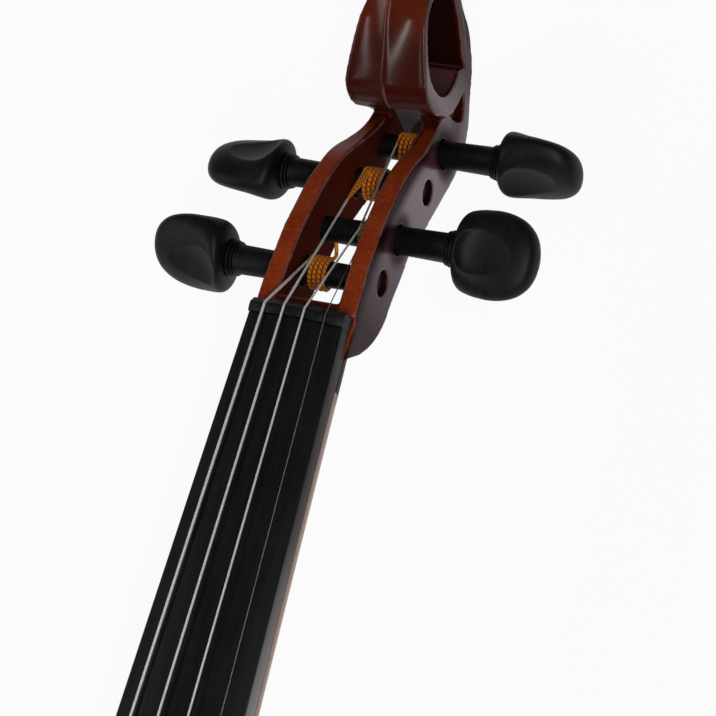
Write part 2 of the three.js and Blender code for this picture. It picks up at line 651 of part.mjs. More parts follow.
function hardwareHoles() {
  const wall = body.waistHalf + overrun;
  const onSide = (back, radius) => rod([cavity.half - overrun, root - back, -knob.depth],
    [wall, root - back, -knob.depth], radius, 20);
  const travel = 0.5 * slider.length + slider.travel + gap;
  const sliderTall = 0.5 * slider.height + gap;
  const sliderSlot = box(
    [cavity.half - overrun, root - slider.back - travel, -knob.depth - sliderTall],
    [wall, root - slider.back + 0.5 * slider.length + gap, -knob.depth + sliderTall]);
  const socketAt = (y) => [-socket.x, y, -socket.depth];
  const leadY = bridgeY - pickup.leadBack;
  const channelX = drawer.x - 0.5 * cell.width + drawer.channel;
  const pilotTop = bodyBack + cavity.inset + coverScrew.length + gap;
  const bore = coverScrew.shank + gap;
  const pilot = ([x, y]) => rod([x, y, bodyBack], [x, y, pilotTop], bore, coverScrew.sides);
  return [
    onSide(knob.volume, knob.shaft + gap), onSide(knob.tone, knob.shaft + gap),
    onSide(phones.back, phones.barrel + gap), sliderSlot,
    rod(socketAt(tailEnd - overrun), socketAt(tailEnd + socket.length + gap), socket.barrel + gap, 24),
    rod(socketAt(tailEnd), socketAt(cavityLow + overrun), socket.channel, 16),
    rod([channelX, trayBox(0).high[1] - overrun, -drawer.depth],
      [channelX, cavityLow + overrun, -drawer.depth], drawer.channel, 12),
    rod([0, tailEnd - overrun, -endButton.depth], [0, tailEnd + endButton.pinLength + gap, -endButton.depth],
      endButton.pin + gap, 20),
    rod([pickup.leadX, leadY, bodyTop + overrun], [pickup.leadX, leadY, coverTop + cavity.depth - overrun],
      2 * pickup.lead, 12),
    ...screwPlaces().map(pilot),
  ];
}

function rimPath(side) {
  const at = (x, back) => new THREE.Vector3(side * x, root - back, bodyTop - rim.drop - 0.5 * rim.height);
  const half = 0.5 * rim.width;
  const points = [
    at(body.neckHalf, rim.joinUpper), at(rim.upperHalf - half, rim.upper),
    at(rim.waistHalf - half, rim.waist), at(rim.lowerHalf - half, rim.lower),
    at(body.tailHalf, rim.joinLower),
  ];
  const [upperRun, waistRun, lowerRun, endRun] = [1, 2, 3, 4].map((i) => points[i - 1].y - points[i].y);
  const shift = (p, x, y) => new THREE.Vector3(p.x + side * x, p.y + y, p.z);
  const sweepOut = rim.upperHalf - body.neckHalf;
  const sweepIn = rim.lowerHalf - body.tailHalf;
  const curves = [
    [points[0], shift(points[0], 0.62 * sweepOut, 0), shift(points[1], 0, 0.62 * upperRun), points[1]],
    [points[1], shift(points[1], 0, -0.46 * waistRun), shift(points[2], 0, 0.42 * waistRun), points[2]],
    [points[2], shift(points[2], 0, -0.42 * lowerRun), shift(points[3], 0, 0.5 * lowerRun), points[3]],
    [points[3], shift(points[3], 0, -0.62 * endRun), shift(points[4], 0.6 * sweepIn, 0), points[4]],
  ];
  return curves.map((c) => new THREE.CubicBezierCurve3(...c));
}

function rimSolid(side) {
  const [w, h, c] = [0.5 * rim.width, 0.5 * rim.height, rim.chamfer];
  const section = [
    [w, h - c], [w - c, h], [c - w, h], [-w, h - c], [-w, c - h], [c - w, -h], [w - c, -h], [w, c - h],
  ];
  const points = rimPath(side).flatMap((curve, i) => curve.getPoints(rim.steps).slice(i ? 1 : 0));
  const list = points.map((p) => p.toArray());
  const stub = (p) => [p[0] - side * overrun, p[1], p[2]];
  const whole = sweep([stub(list[0]), ...list, stub(list[list.length - 1])], section);
  const tall = body.back;
  const upperKeep = [side * body.neckHalf, root - rim.joinUpper - rim.width, -tall];
  const lowerKeep = [side * body.tailHalf, root - rim.joinLower - rim.width, -tall];
  const block = (x, y) => box([Math.min(0, x), y, -tall], [Math.max(0, x), y + 2 * rim.width, 0]);
  return cut(whole, block(upperKeep[0], upperKeep[1]), block(lowerKeep[0], lowerKeep[1]));
}

// Bridge and its pickup

const bridgeShares = [
  [0, 0.2], [0.25, 0.17], [0.42, 0.08], [0.46, 0], [1, 0], [0.98, 0.05], [0.84, 0.13], [0.76, 0.22],
  [0.79, 0.31], [0.95, 0.4], [1, 0.47], [0.96, 0.58], [0.89, 0.72],
];
const heartShares = [0, 0.56];
const kidneyShares = [0.62, 0.45];

function bridgeSolid() {
  const tall = bridge.crest - pickupTop;
  const half = 0.5 * bridge.width;
  const place = ([a, b]) => [a * half, pickupTop + b * tall];
  const angle = THREE.MathUtils.radToDeg(Math.asin(bridge.topHalf / board.radius));
  const crown = arc(0, bridge.crest - board.radius, board.radius, 90 - angle, 90 + angle, 14);
  const right = bridgeShares.map(place);
  const left = right.slice(1).reverse().map(([x, z]) => [-x, z]);
  const [front, thin] = [0.5 * bridge.foot, 0.5 * bridge.crown];
  const blank = common(
    prism([...right, ...crown, ...left], 'y', bridgeY - front, bridgeY + front),
    prism([
      [bridgeY - front, pickupTop], [bridgeY + front, pickupTop],
      [bridgeY + thin, bridge.crest + overrun], [bridgeY - thin, bridge.crest + overrun],
    ], 'x', -bridge.width, bridge.width));
  const [low, high] = [bridgeY - bridge.foot, bridgeY + bridge.foot];
  const [heartX, heartZ] = place(heartShares);
  const [kidneyX, kidneyZ] = place(kidneyShares);
  const tilt = THREE.MathUtils.degToRad(bridge.kidneyTilt);
  const kidney = (side) => prism(circle(0, 0, 1, 16).map(([a, b]) => {
    const [u, v] = [a * bridge.kidneyLong, b * bridge.kidneyShort];
    const [across, up] = [u * Math.cos(tilt) - v * Math.sin(tilt), u * Math.sin(tilt) + v * Math.cos(tilt)];
    return [side * (kidneyX + across), kidneyZ + up];
  }), 'y', low, high);
  const notches = strings.map((string) => {
    const [x, , z] = bridgePoint(string);
    return rod([x, low, z], [x, high, z], 0.5 * string.gauge + gap, 12);
  });
  const heart = prism(circle(heartX, heartZ, bridge.heart, 16), 'y', low, high);
  return cut(blank, heart, kidney(1), kidney(-1), ...notches);
}

function pickupBar() {
  const [x, y] = [0.5 * pickup.length, 0.5 * pickup.width];
  return box([-x, bridgeY - y, bodyTop], [x, bridgeY + y, pickupTop]);
}

function pickupLead() {
  const z = bodyTop + pickup.lead + gap;
  const start = bridgeY - 0.5 * pickup.width - gap;
  const hole = bridgeY - pickup.leadBack;
  const bend = 2 * pickup.lead;
  return tube([
    [pickup.leadX, start, z], [pickup.leadX, hole + bend, z],
    [pickup.leadX, hole + 0.3 * bend, z - 0.3 * bend],
    [pickup.leadX, hole, z - bend], [pickup.leadX, hole, coverTop + circuit.lift + circuit.thick + gap],
  ], pickup.lead, spread.sides, xAxis);
}

// Tailpiece with four built-in fine tuners

function tailHalf(y) {
  return between(tail.frontHalf, tail.rearHalf, span(y, tailFront, tailRear));
}

function tailRing(y, inset) {
  const half = tailHalf(y) - inset;
  const crest = tailCrest(y) - inset;
  const angle = THREE.MathUtils.radToDeg(Math.asin(half / tail.radius));
  const floor = tailCrest(y) - between(tail.frontThick, tail.rearThick, span(y, tailFront, tailRear));
  const top = arc(0, crest - tail.radius, tail.radius, 90 + angle, 90 - angle, 8);
  const under = floor - (inset ? overrun : 0);
  return [[-half, y, under], ...top.map(([x, z]) => [x, y, z]), [half, y, under]];
}

function tailpiece() {
  const blank = loft([tailRing(tailFront, 0), tailRing(tailRear, 0)]);
  const hollow = loft([
    tailRing(tailFront - tail.solidFront, tail.wall), tailRing(tailRear + tail.solidRear, tail.wall),
  ]);
  const low = -body.top;
  const cuts = strings.flatMap((string) => {
    const [x, , z] = tailPoint(string);
    const pivotZ = z - tuner.rise;
    const half = 0.5 * tail.slot;
    const slotEnd = tailFront - tail.slotLength;
    return [
      box([x - half, slotEnd, low], [x + half, tailFront + overrun, overrun]),
      box([x - half, slotEnd - tail.armSlot, low],
        [x + half, slotEnd + overrun, pivotZ + 3 * tuner.armHalf]),
      rod([x - half - tuner.pinEnd - gap, pivotY, pivotZ], [x + half + tuner.pinEnd + gap, pivotY, pivotZ],
        tuner.pin + gap, 16),
      rod([x, pivotY - tuner.arm, low], [x, pivotY - tuner.arm, overrun], tuner.stem + gap, 16),
    ];
  });
  const gutZ = tailCrest(tailRear) - 0.5 * tail.rearThick;
  const sockets = [-1, 1].map((side) => rod([side * 0.5 * gut.spacing, tailRear - overrun, gutZ],
    [side * 0.5 * gut.spacing, tailRear + gut.socket, gutZ], gut.radius + gap, 12));
  return cut(blank, hollow, ...cuts, ...sockets);
}

function lever(string) {
  const [x, , z] = tailPoint(string);
  const pivotZ = z - tuner.rise;
  const at = ([a, b]) => [pivotY + a, pivotZ + b];
  const back = -tuner.arm - tuner.armEnd;
  const front = tuner.hookAhead + tuner.hook;
  const top = tuner.rise + tuner.notch;
  const arm = prism([
    [back, -tuner.armHalf], [front, -tuner.armHalf], [front, top], [tuner.hookAhead, top],
    [tuner.hookAhead, tuner.armHalf], [back, tuner.armHalf],
  ].map(at), 'x', x - 0.5 * tuner.width, x + 0.5 * tuner.width);
  const pinReach = 0.5 * tail.slot + tuner.pinEnd;
  const pin = rod([x - pinReach, pivotY, pivotZ], [x + pinReach, pivotY, pivotZ], tuner.pin, 12);
  const clear = 0.5 * string.gauge + gap;
  const notch = box([x - clear, pivotY, z - tuner.notch],
    [x + clear, pivotY + front + overrun, z + 2 * tuner.notch]);
  return cut(join(arm, pin), notch);
}

function stemEnds(string) {
  const [x, , z] = tailPoint(string);
  const low = z - tuner.rise + tuner.armHalf + gap;
  const surface = tailCrest(pivotY - tuner.arm) - arcDrop(x, tail.radius);
  return { x, y: pivotY - tuner.arm, low, knobLow: surface + tuner.lift };
}

function tunerStem(string) {
  const { x, y, low, knobLow } = stemEnds(string);
  return rod([x, y, low], [x, y, knobLow + tuner.socket - gap], tuner.stem, 12);
}

function toothed(radius, depth, teeth) {
  const reach = (i) => radius - depth * (i % 2);
  return circle(0, 0, 1, 2 * teeth).map(([a, b], i) => [a * reach(i), b * reach(i)]);
}

function tunerKnob(string) {
  const { x, y, knobLow } = stemEnds(string);
  const outline = toothed(tuner.knobRadius, tuner.tooth, tuner.teeth).map(([a, b]) => [x + a, y + b]);
  const blank = prism(outline, 'z', knobLow, knobLow + tuner.knobHeight);
  return cut(blank, rod([x, y, knobLow - overrun], [x, y, knobLow + tuner.socket], tuner.stem + gap, 12));
}

function saddleBlock() {
  const [high, front] = [bodyTop + saddle.height, tailEnd + saddle.length];
  const outline = [
    [tailEnd, bodyTop], [front, bodyTop],
    ...arc(front - saddle.round, high - saddle.round, saddle.round, 0, 90, 4),
    ...arc(tailEnd + saddle.round, high - saddle.round, saddle.round, 90, 180, 4),
  ];
  return prism(outline, 'x', -0.5 * saddle.width, 0.5 * saddle.width);
}

function tailGut() {
  const half = 0.5 * gut.spacing;
  const start = tailRear + gut.socket - gap;
  const exitZ = tailCrest(tailRear) - 0.5 * tail.rearThick;
  const clear = gut.radius + gap;
  const high = bodyTop + saddle.height + clear;
  const outside = tailEnd - clear;
  const turnRadius = endButton.neck + clear;
  const neckY = tailEnd - 0.5 * endButton.neckLength;
  const bend = saddle.round + clear;
  const over = arc(tailEnd + saddle.round, high - bend, bend, 90, 180, 4);
  const down = [
    [half, start, exitZ], [half, tailRear, exitZ], ...over.map(([y, z]) => [half, y, z]),
    [between(half, turnRadius, 0.5), outside, -endButton.depth + 2 * turnRadius],
  ];
  const around = arc(0, -endButton.depth, turnRadius, 0, -180, gut.turnSteps).map(([x, z]) => [x, neckY, z]);
  const mirrored = down.map(([x, y, z]) => [-x, y, z]).reverse();
  return tube([...down, ...around, ...mirrored], gut.radius, gut.sides, xAxis);
}

function endPin() {
  const { pin, neck: neckRadius, neckLength, head: headRadius, headLength, pinLength } = endButton;
  const total = pinLength + neckLength + headLength;
  return turned([
    [0, 0], [0.9 * pin, 0], [pin, pinLength], [neckRadius, pinLength + 2 * gap],
    [neckRadius, pinLength + neckLength - gap], [headRadius, pinLength + neckLength],
    [headRadius, total - 2 * gut.radius],
    [0.8 * headRadius, total - gut.radius], [0.4 * headRadius, total], [0, total],
  ], [0, tailEnd + pinLength, -endButton.depth], [0, -1, 0], 24);
}

// Chin rest and its clamp on the bass rim

const restTop = bodyTop + rest.lift + rest.thick;
const restUnder = bodyTop + rest.lift;
const restShares = [
  [0.5, 0.05], [0.46, 0.36], [0.22, 0.5], [-0.1, 0.48], [-0.38, 0.34], [-0.5, 0.02], [-0.44, -0.3],
  [-0.2, -0.48],
  [0.12, -0.5], [0.4, -0.36], [0.5, 0.05],
];
const rimTop = bodyTop - rim.drop;
const rimLow = rimTop - rim.height;

function clampFrame() {
  const curve = rimPath(-1)[3];
  const point = curve.getPoint(rest.rimAt);
  const along = curve.getTangent(rest.rimAt);
  const outward = along.clone().cross(zAxis);
  if (outward.x > 0) outward.negate();
  const place = (side, out, z) => [
    point.x + along.x * side + outward.x * out, point.y + along.y * side + outward.y * out, z,
  ];
  return { place };
}

function slab(place, [side0, side1], [out0, out1], low, high) {
  const corners = [[side0, out0], [side1, out0], [side1, out1], [side0, out1]];
  return loft([low, high].map((z) => corners.map(([side, out]) => place(side, out, z))));
}

function chinRest() {
  const spot = ([a, b]) => [-rest.x + a * rest.width, root + neckLength - rest.back + b * rest.length];
  const outline = smooth(restShares.map(spot), 40).slice(1);
  const plate = prism(outline, 'z', restUnder, restTop);
  const centreY = -rest.back;
  const dish = solid(new THREE.SphereGeometry(rest.dish, 96, 64)
    .translate(-rest.x, centreY, restTop + rest.dish - rest.dishDepth));
  const { place } = clampFrame();
  const [px, py] = [-rest.padX, -rest.padBack];
  const half = 0.5 * rest.pad;
  const high = restUnder + rest.edge;
  const post = box([px - half, py - half, bodyTop + rest.cork + gap], [px + half, py + half, high]);
  const wide = 0.4 * rim.width;
  const rimPost = slab(place, [-half, half], [-wide, wide], rimTop + rest.cork + gap, high);
  return join(cut(plate, dish), post, rimPost);
}

function restPads() {
  const { place } = clampFrame();
  const [px, py] = [-rest.padX, -rest.padBack];
  const half = 0.5 * rest.pad;
  return {
    body: box([px - half, py - half, bodyTop], [px + half, py + half, bodyTop + rest.cork]),
    rim: slab(place, [-half, half], [-0.4 * rim.width, 0.4 * rim.width], rimTop, rimTop + rest.cork),
    jaw: slab(place, [-0.4 * clamp.width, 0.4 * clamp.width], [-0.4 * rim.width, 0.4 * rim.width],
      rimLow - clamp.cork, rimLow),
  };
}

const clampOut = 0.5 * rim.width + gap + clamp.barrel + gap;
const jawTop = rimLow - clamp.cork - gap;
const bracketTop = restUnder - gap;
const barrelMid = 0.5 * (bracketTop - clamp.plate + jawTop);

function clampRods(place, from, to) {
  return [-1, 1].map((side) => {
    const at = (z) => place(side * 0.5 * clamp.rodSpacing, clampOut, z);
    return rod(at(from), at(to), clamp.rod, 12);
  });
}

function clampBracket() {
  const { place } = clampFrame();
  const edge = clampOut + 2 * clamp.rod;
  const plate = slab(place, [-0.5 * clamp.width, 0.5 * clamp.width], [edge - clamp.depth, edge],
    bracketTop - clamp.plate, bracketTop);
  return join(plate, ...clampRods(place, barrelMid + gap, bracketTop - 0.5 * clamp.plate));
}

function clampJaw() {
  const { place } = clampFrame();
  const edge = clampOut + 2 * clamp.rod;
  const plate = slab(place, [-0.5 * clamp.width, 0.5 * clamp.width], [edge - clamp.toe, edge],
    jawTop - clamp.jaw, jawTop);
  return join(plate, ...clampRods(place, jawTop - 0.5 * clamp.jaw, barrelMid - gap));
}

function barrel(side) {
  const { place } = clampFrame();
  const at = (z) => place(side * 0.5 * clamp.rodSpacing, clampOut, z);
  const half = 0.5 * clamp.barrelLength;
  const outer = rod(at(barrelMid - half), at(barrelMid + half), clamp.barrel, 16);
  const bore = rod(at(barrelMid - half - overrun), at(barrelMid + half + overrun), clamp.rod + gap, 16);
  const spanner = 0.45 * clamp.barrel;
  const [cx, cy] = at(0);
  const reach = clamp.barrel + overrun;
  return cut(outer, bore, rod([cx - reach, cy, barrelMid], [cx + reach, cy, barrelMid], spanner, 8));
}

// Controls, sockets, battery drawer and the circuit behind the back cover

function fluteKnob(back) {
  const at = (x) => [x, root - back, -knob.depth];
  const low = body.waistHalf + knob.lift;
  const teeth = toothed(knob.radius, knob.flute, knob.flutes);
  const outline = teeth.map(([a, b]) => [root - back + a, -knob.depth + b]);
  const cap = prism(outline, 'x', low, low + knob.height);
  return join(cap, rod(at(cavity.half + gap), at(low + overrun), knob.shaft, 16));
}

function switchNub() {
  const [y, z] = [root - slider.back, -knob.depth];
  return box([cavity.half + gap, y - 0.5 * slider.length, z - 0.5 * slider.height],
    [body.waistHalf + slider.proud, y + 0.5 * slider.length, z + 0.5 * slider.height]);
}

function jack({ flange, barrel: barrelRadius, bore, proud, length }, start, direction) {
  return turned([
    [bore, 0], [barrelRadius, 0], [barrelRadius, length], [flange, length], [flange, length + 0.6 * proud],
    [0.85 * flange, length + proud], [bore, length + proud], [bore, 0],
  ], start, direction, 24);
}

function phonesJack() {
  const start = [cavity.half + gap, root - phones.back, -knob.depth];
  return jack({ ...phones, length: body.waistHalf - cavity.half - gap }, start, [1, 0, 0]);
}

function outputJack() {
  return jack(socket, [-socket.x, tailEnd + socket.length, -socket.depth], [0, -1, 0]);
}

function trayBox(clear) {
  const half = 0.5 * cell.width + gap + drawer.wall + clear;
  const tall = 0.5 * cell.height + gap + drawer.wall + clear;
  const inner = tailEnd + drawer.front + cell.length + 2 * gap + drawer.wall + clear;
  return {
    low: [drawer.x - half, tailEnd, -drawer.depth - tall],
    high: [drawer.x + half, inner, -drawer.depth + tall],
  };
}

function batteryDrawer() {
  const { low, high } = trayBox(0);
  const shell = box(low, high);
  const hollow = box(
    [low[0] + drawer.wall, tailEnd + drawer.front, low[2] + drawer.wall],
    [high[0] - drawer.wall, high[1] - drawer.wall, high[2] + overrun]);
  const pull = box(
    [drawer.x - 0.5 * drawer.pullWidth, tailEnd - drawer.pull, -drawer.depth - 0.5 * drawer.pullHeight],
    [drawer.x + 0.5 * drawer.pullWidth, tailEnd + drawer.wall, -drawer.depth + 0.5 * drawer.pullHeight]);
  return join(cut(shell, hollow), pull);
}

function batteryCell() {
  const { low } = trayBox(0);
  const start = [low[0] + drawer.wall + gap, tailEnd + drawer.front + gap, low[2] + drawer.wall + gap];
  const outline = [
    ...arc(start[0] + cell.width - cell.edge, start[2] + cell.edge, cell.edge, -90, 0, 3),
    ...arc(start[0] + cell.width - cell.edge, start[2] + cell.height - cell.edge, cell.edge, 0, 90, 3),
    ...arc(start[0] + cell.edge, start[2] + cell.height - cell.edge, cell.edge, 90, 180, 3),
    ...arc(start[0] + cell.edge, start[2] + cell.edge, cell.edge, 180, 270, 3),
  ];
  return prism(outline, 'y', start[1], start[1] + cell.length);
}

function screwPlaces() {
  const x = cavity.half + cavity.lap - coverScrew.inset;
  const low = cavityLow - cavity.lap + coverScrew.inset;
  const high = cavityHigh + cavity.lap - coverScrew.inset;
  return [[x, low], [x, high], [-x, high], [-x, low]];
}

function backCover() {
  const low = bodyBack + cavity.inset;
  const plate = box([-cavity.half - cavity.lap + gap, cavityLow - cavity.lap + gap, low],
    [cavity.half + cavity.lap - gap, cavityHigh + cavity.lap - gap, coverTop]);
  const sinks = screwPlaces().map(([x, y]) => turned([
    [0, -overrun], [coverScrew.head + gap, -overrun], [coverScrew.head + gap, 0],
    [coverScrew.shank + gap, coverScrew.headDepth], [coverScrew.shank + gap, cavity.cover + overrun],
    [0, cavity.cover + overrun],
  ], [x, y, low], [0, 0, 1], coverScrew.sides));
  return cut(plate, ...sinks);
}

function screwSolid([x, y]) {
  const low = bodyBack + cavity.inset;
  const blank = turned([
    [0, 0], [coverScrew.head, 0], [coverScrew.shank, coverScrew.headDepth],
    [coverScrew.shank, coverScrew.length - coverScrew.shank], [0, coverScrew.length],
  ], [x, y, low], [0, 0, 1], coverScrew.sides);
  const half = 0.5 * coverScrew.slot;
  return cut(blank, box([x - half, y - coverScrew.head - overrun, low - overrun],
    [x + half, y + coverScrew.head + overrun, low + coverScrew.slotDepth]));
}

function circuitBoard() {
  const low = coverTop + circuit.lift;
  const high = low + circuit.thick;
  const middle = 0.5 * (cavityLow + cavityHigh);
  const plate = box([-0.5 * circuit.width, middle - 0.5 * circuit.length, low],
    [0.5 * circuit.width, middle + 0.5 * circuit.length, high]);
  const face = cavity.half - gap;
  const pots = [knob.volume, knob.tone, phones.back].map((back) => {
    const y = root - back;
    const radius = back === phones.back ? phones.flange : circuit.pot;
    const can = rod([face - circuit.potDepth, y, -knob.depth], [face, y, -knob.depth], radius, 16);
    const leg = box([face - circuit.potDepth, y - 0.5 * radius, low],
      [0.5 * circuit.width, y + 0.5 * radius, -knob.depth]);
    return join(can, leg);
  });
  const half = 0.5 * circuit.chip;
  const chips = [-1, 1].map((side) => middle + side * circuit.chip).map((y) => box(
    [-circuit.chip, y - half, low + weld], [0, y + half, high + circuit.chipHeight]));
  return join(plate, ...pots, ...chips);
}

// The assembly

const violin = new THREE.Group();
const buttonReach = endButton.neckLength + endButton.headLength;
const seat = { y: -0.5 * (head.length + tailEnd - buttonReach), z: body.back };
violin.position.set(0, seat.y, seat.z);

function add(name, shape, finish) {
  const [color, roughness, metalness] = finishes[finish];
  const material = new THREE.MeshStandardMaterial({ color, roughness, metalness });
  const mesh = new THREE.Mesh(geometryOf(shape), material);
  mesh.name = name;
  violin.add(mesh);
}

add('neck_and_scroll', neckAndScroll(), 'lacquer');
add('fingerboard', fingerboard(), 'ebony');
add('nut', nutBlock(), 'ebony');
add('body_block', bodyBlock(), 'lacquer');
add('rim_bass', rimSolid(-1), 'lacquer');
add('rim_treble', rimSolid(1), 'lacquer');
add('bridge', bridgeSolid(), 'maple');
add('bridge_pickup', pickupBar(), 'blackMetal');
add('pickup_lead', pickupLead(), 'plastic');
add('tailpiece', tailpiece(), 'ebony');
add('saddle', saddleBlock(), 'ebony');
add('tail_gut', tailGut(), 'plastic');
add('end_button', endPin(), 'ebony');

for (const string of strings) {
  const silk = string.name === 'e' ? 'silkGreen' : 'silk';
  add(`peg_${string.name}`, peg(string), 'ebony');
  add(`winding_${string.name}`, windingOf(string), silk);
  add(`string_${string.name}`, stringSolid(string), string.name === 'e' ? 'plainSteel' : 'wound');
  add(`tuner_lever_${string.name}`, lever(string), 'blackMetal');
  add(`tuner_stem_${string.name}`, tunerStem(string), 'blackMetal');
  add(`tuner_knob_${string.name}`, tunerKnob(string), 'blackMetal');
  console.log(`winding_${string.name}: least gap to itself ${leastGap(string).toFixed(3)} mm`);
}

add('chin_rest', chinRest(), 'ebony');
const pads = restPads();
add('chin_rest_body_cork', pads.body, 'cork');
add('chin_rest_rim_cork', pads.rim, 'cork');
add('clamp_bracket', clampBracket(), 'plainSteel');
add('clamp_jaw', clampJaw(), 'plainSteel');
add('clamp_cork', pads.jaw, 'cork');
add('clamp_barrel_1', barrel(-1), 'plainSteel');
add('clamp_barrel_2', barrel(1), 'plainSteel');

add('volume_knob', fluteKnob(knob.volume), 'plastic');
add('tone_knob', fluteKnob(knob.tone), 'plastic');
add('power_switch', switchNub(), 'plastic');
add('headphone_jack', phonesJack(), 'blackMetal');
add('output_jack', outputJack(), 'blackMetal');
add('battery_drawer', batteryDrawer(), 'plastic');
add('battery', batteryCell(), 'cellCase');
add('circuit_board', circuitBoard(), 'fibreglass');
add('back_cover', backCover(), 'plastic');
screwPlaces().forEach((place, i) => add(`cover_screw_${i + 1}`, screwSolid(place), 'blackMetal'));

export default violin;
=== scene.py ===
import json
import math
import bpy
from mathutils import Matrix, Quaternion, Vector


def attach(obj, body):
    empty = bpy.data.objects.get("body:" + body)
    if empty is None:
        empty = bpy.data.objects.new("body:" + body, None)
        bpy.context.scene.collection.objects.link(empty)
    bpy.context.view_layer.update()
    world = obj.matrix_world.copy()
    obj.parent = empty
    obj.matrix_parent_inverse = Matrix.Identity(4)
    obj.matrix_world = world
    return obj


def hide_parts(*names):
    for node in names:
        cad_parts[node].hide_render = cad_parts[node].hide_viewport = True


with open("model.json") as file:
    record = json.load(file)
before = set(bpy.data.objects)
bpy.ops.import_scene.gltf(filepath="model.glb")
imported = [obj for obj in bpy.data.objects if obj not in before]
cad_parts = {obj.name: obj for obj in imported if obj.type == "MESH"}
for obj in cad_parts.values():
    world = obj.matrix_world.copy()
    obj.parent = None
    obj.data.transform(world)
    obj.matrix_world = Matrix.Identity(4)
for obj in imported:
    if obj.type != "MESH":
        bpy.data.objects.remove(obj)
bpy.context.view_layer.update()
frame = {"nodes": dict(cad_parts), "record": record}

scene = bpy.context.scene
nodes = frame["nodes"]

# Everything is measured in millimetres from the nut: X to the treble side, Y to the scroll,
# Z up from the crown of the board
boardOrigin = {"y": 197.85, "z": 69.0}
boardSize = {
    "radius": 42.0, "length": 270.0, "nutWidth": 24.0, "endWidth": 42.6, "thickness": 5.0,
    "nutSpread": 15.6, "bridgeSpread": 34.0, "tailSpread": 32.4,  # from the first string to the last
    "nutAt": (2.3, 0.9), "bridgeAt": (-328.0, 1.6), "tailAt": (-389.7, -6.8),  # along, and up from the crown
}
weldGap = 1e-6  # metres


def place(x, y, z):
    return Vector((x, y + boardOrigin["y"], z + boardOrigin["z"])) / 1000


def mm(value):
    return value / 1000


# Camera and studio

camera = {
    "at": (227.013, -143.361, 509.865),
    "turn": (0.292042423, 0.349747598, 0.228136042),  # rotation vector
    "lens": 125.18,
    "sensor": 36.0,
}
studio = {
    "floorSize": 6.0,
    "floorColour": (0.9, 0.9, 0.9),
    "floorRoughness": 0.9,
    "floorGlow": 0.93,  # share of plain white in what the camera sees of the floor
    "floorMirror": 0.58,  # the same, in what glossy pieces mirror
    "worldColour": (1.0, 1.0, 1.0),
    "worldStrength": 0.1,
    "lamps": {"keyLight": ((0.6, -0.5, 1.2), 12.0), "leftLight": ((-1.05, -0.4, 0.9), 6.8)},  # place, power
    "lampSize": (0.2, 1.8),
    "lampAim": (0, 30, -15),
}


def setCamera():
    turn = Vector(camera["turn"])
    data = bpy.data.cameras.new("photoCamera")
    data.sensor_width = camera["sensor"]
    data.lens = camera["lens"]
    data.clip_start, data.clip_end = 0.01, 50
    obj = bpy.data.objects.new("photoCamera", data)
    scene.collection.objects.link(obj)
    obj.location = place(*camera["at"])
    obj.rotation_mode = "QUATERNION"
    obj.rotation_quaternion = Quaternion(turn.normalized(), turn.length)
    scene.camera = obj


def softbox(name, at, power):
    data = bpy.data.lights.new(name, "AREA")
    data.shape = "RECTANGLE"
    data.size, data.size_y = studio["lampSize"]
    data.energy = power
    obj = bpy.data.objects.new(name, data)
    scene.collection.objects.link(obj)
    obj.location = at
    aim = place(*studio["lampAim"]) - Vector(at)
    across = aim.cross(Vector((0, 1, 0))).normalized()
    turn = Matrix((across, across.cross(aim).normalized(), -aim.normalized())).transposed()
    obj.rotation_mode = "QUATERNION"
    obj.rotation_quaternion = turn.to_quaternion()


def buildStudio():
    world = bpy.data.worlds.new("studio")
    scene.world = world
    world.use_nodes = True
    world.node_tree.nodes.clear()
    sky = Nodes(world.node_tree)
    back = sky.node("Background", Color=studio["worldColour"], Strength=1.0)
    lit = sky.node("Background", Color=studio["worldColour"], Strength=studio["worldStrength"])
    seen = sky.node("LightPath", out="Is Camera Ray")
    sky.node("OutputWorld", Surface=sky.node("MixShader", n0=seen, n1=lit, n2=back))
    for name, (at, power) in studio["lamps"].items():
        softbox(name, at, power)


# Working by hand: choosing, tracing, pulling, turning and cutting

def letGo():
    if bpy.context.object and bpy.context.object.mode != "OBJECT":
        bpy.ops.object.mode_set(mode="OBJECT")
    bpy.ops.object.select_all(action="DESELECT")


def choose(*objects):
    letGo()
    for obj in objects:
        obj.select_set(True)
    bpy.context.view_layer.objects.active = objects[0]


def editing(obj):
    choose(obj)
    bpy.ops.object.mode_set(mode="EDIT")
    bpy.ops.mesh.select_all(action="SELECT")


def atOrigin(obj):
    choose(obj)
    bpy.ops.object.transform_apply(location=True, rotation=True, scale=True)
    return obj


def outward(obj):
    editing(obj)
    bpy.ops.mesh.remove_doubles(threshold=weldGap)
    bpy.ops.mesh.normals_make_consistent(inside=False)
    bpy.ops.object.mode_set(mode="OBJECT")
    return obj


def traceLine(name, points):  # leaves edit mode on, for the face or the spin that follows
    letGo()
    bpy.ops.mesh.primitive_plane_add(size=mm(1), location=points[0])
    obj = bpy.context.object
    obj.name = name
    bpy.ops.object.mode_set(mode="EDIT")
    bpy.ops.mesh.merge(type="CENTER")
    for here, there in zip(points, points[1:]):
        bpy.ops.mesh.extrude_vertices_move(TRANSFORM_OT_translate={"value": there - here})
    return obj


def slab(name, outline, pull):
    obj = traceLine(name, outline)
    bpy.ops.mesh.select_all(action="SELECT")
    bpy.ops.mesh.edge_face_add()
    bpy.ops.mesh.extrude_region_move(TRANSFORM_OT_translate={"value": pull})
    bpy.ops.object.mode_set(mode="OBJECT")
    return outward(atOrigin(obj))


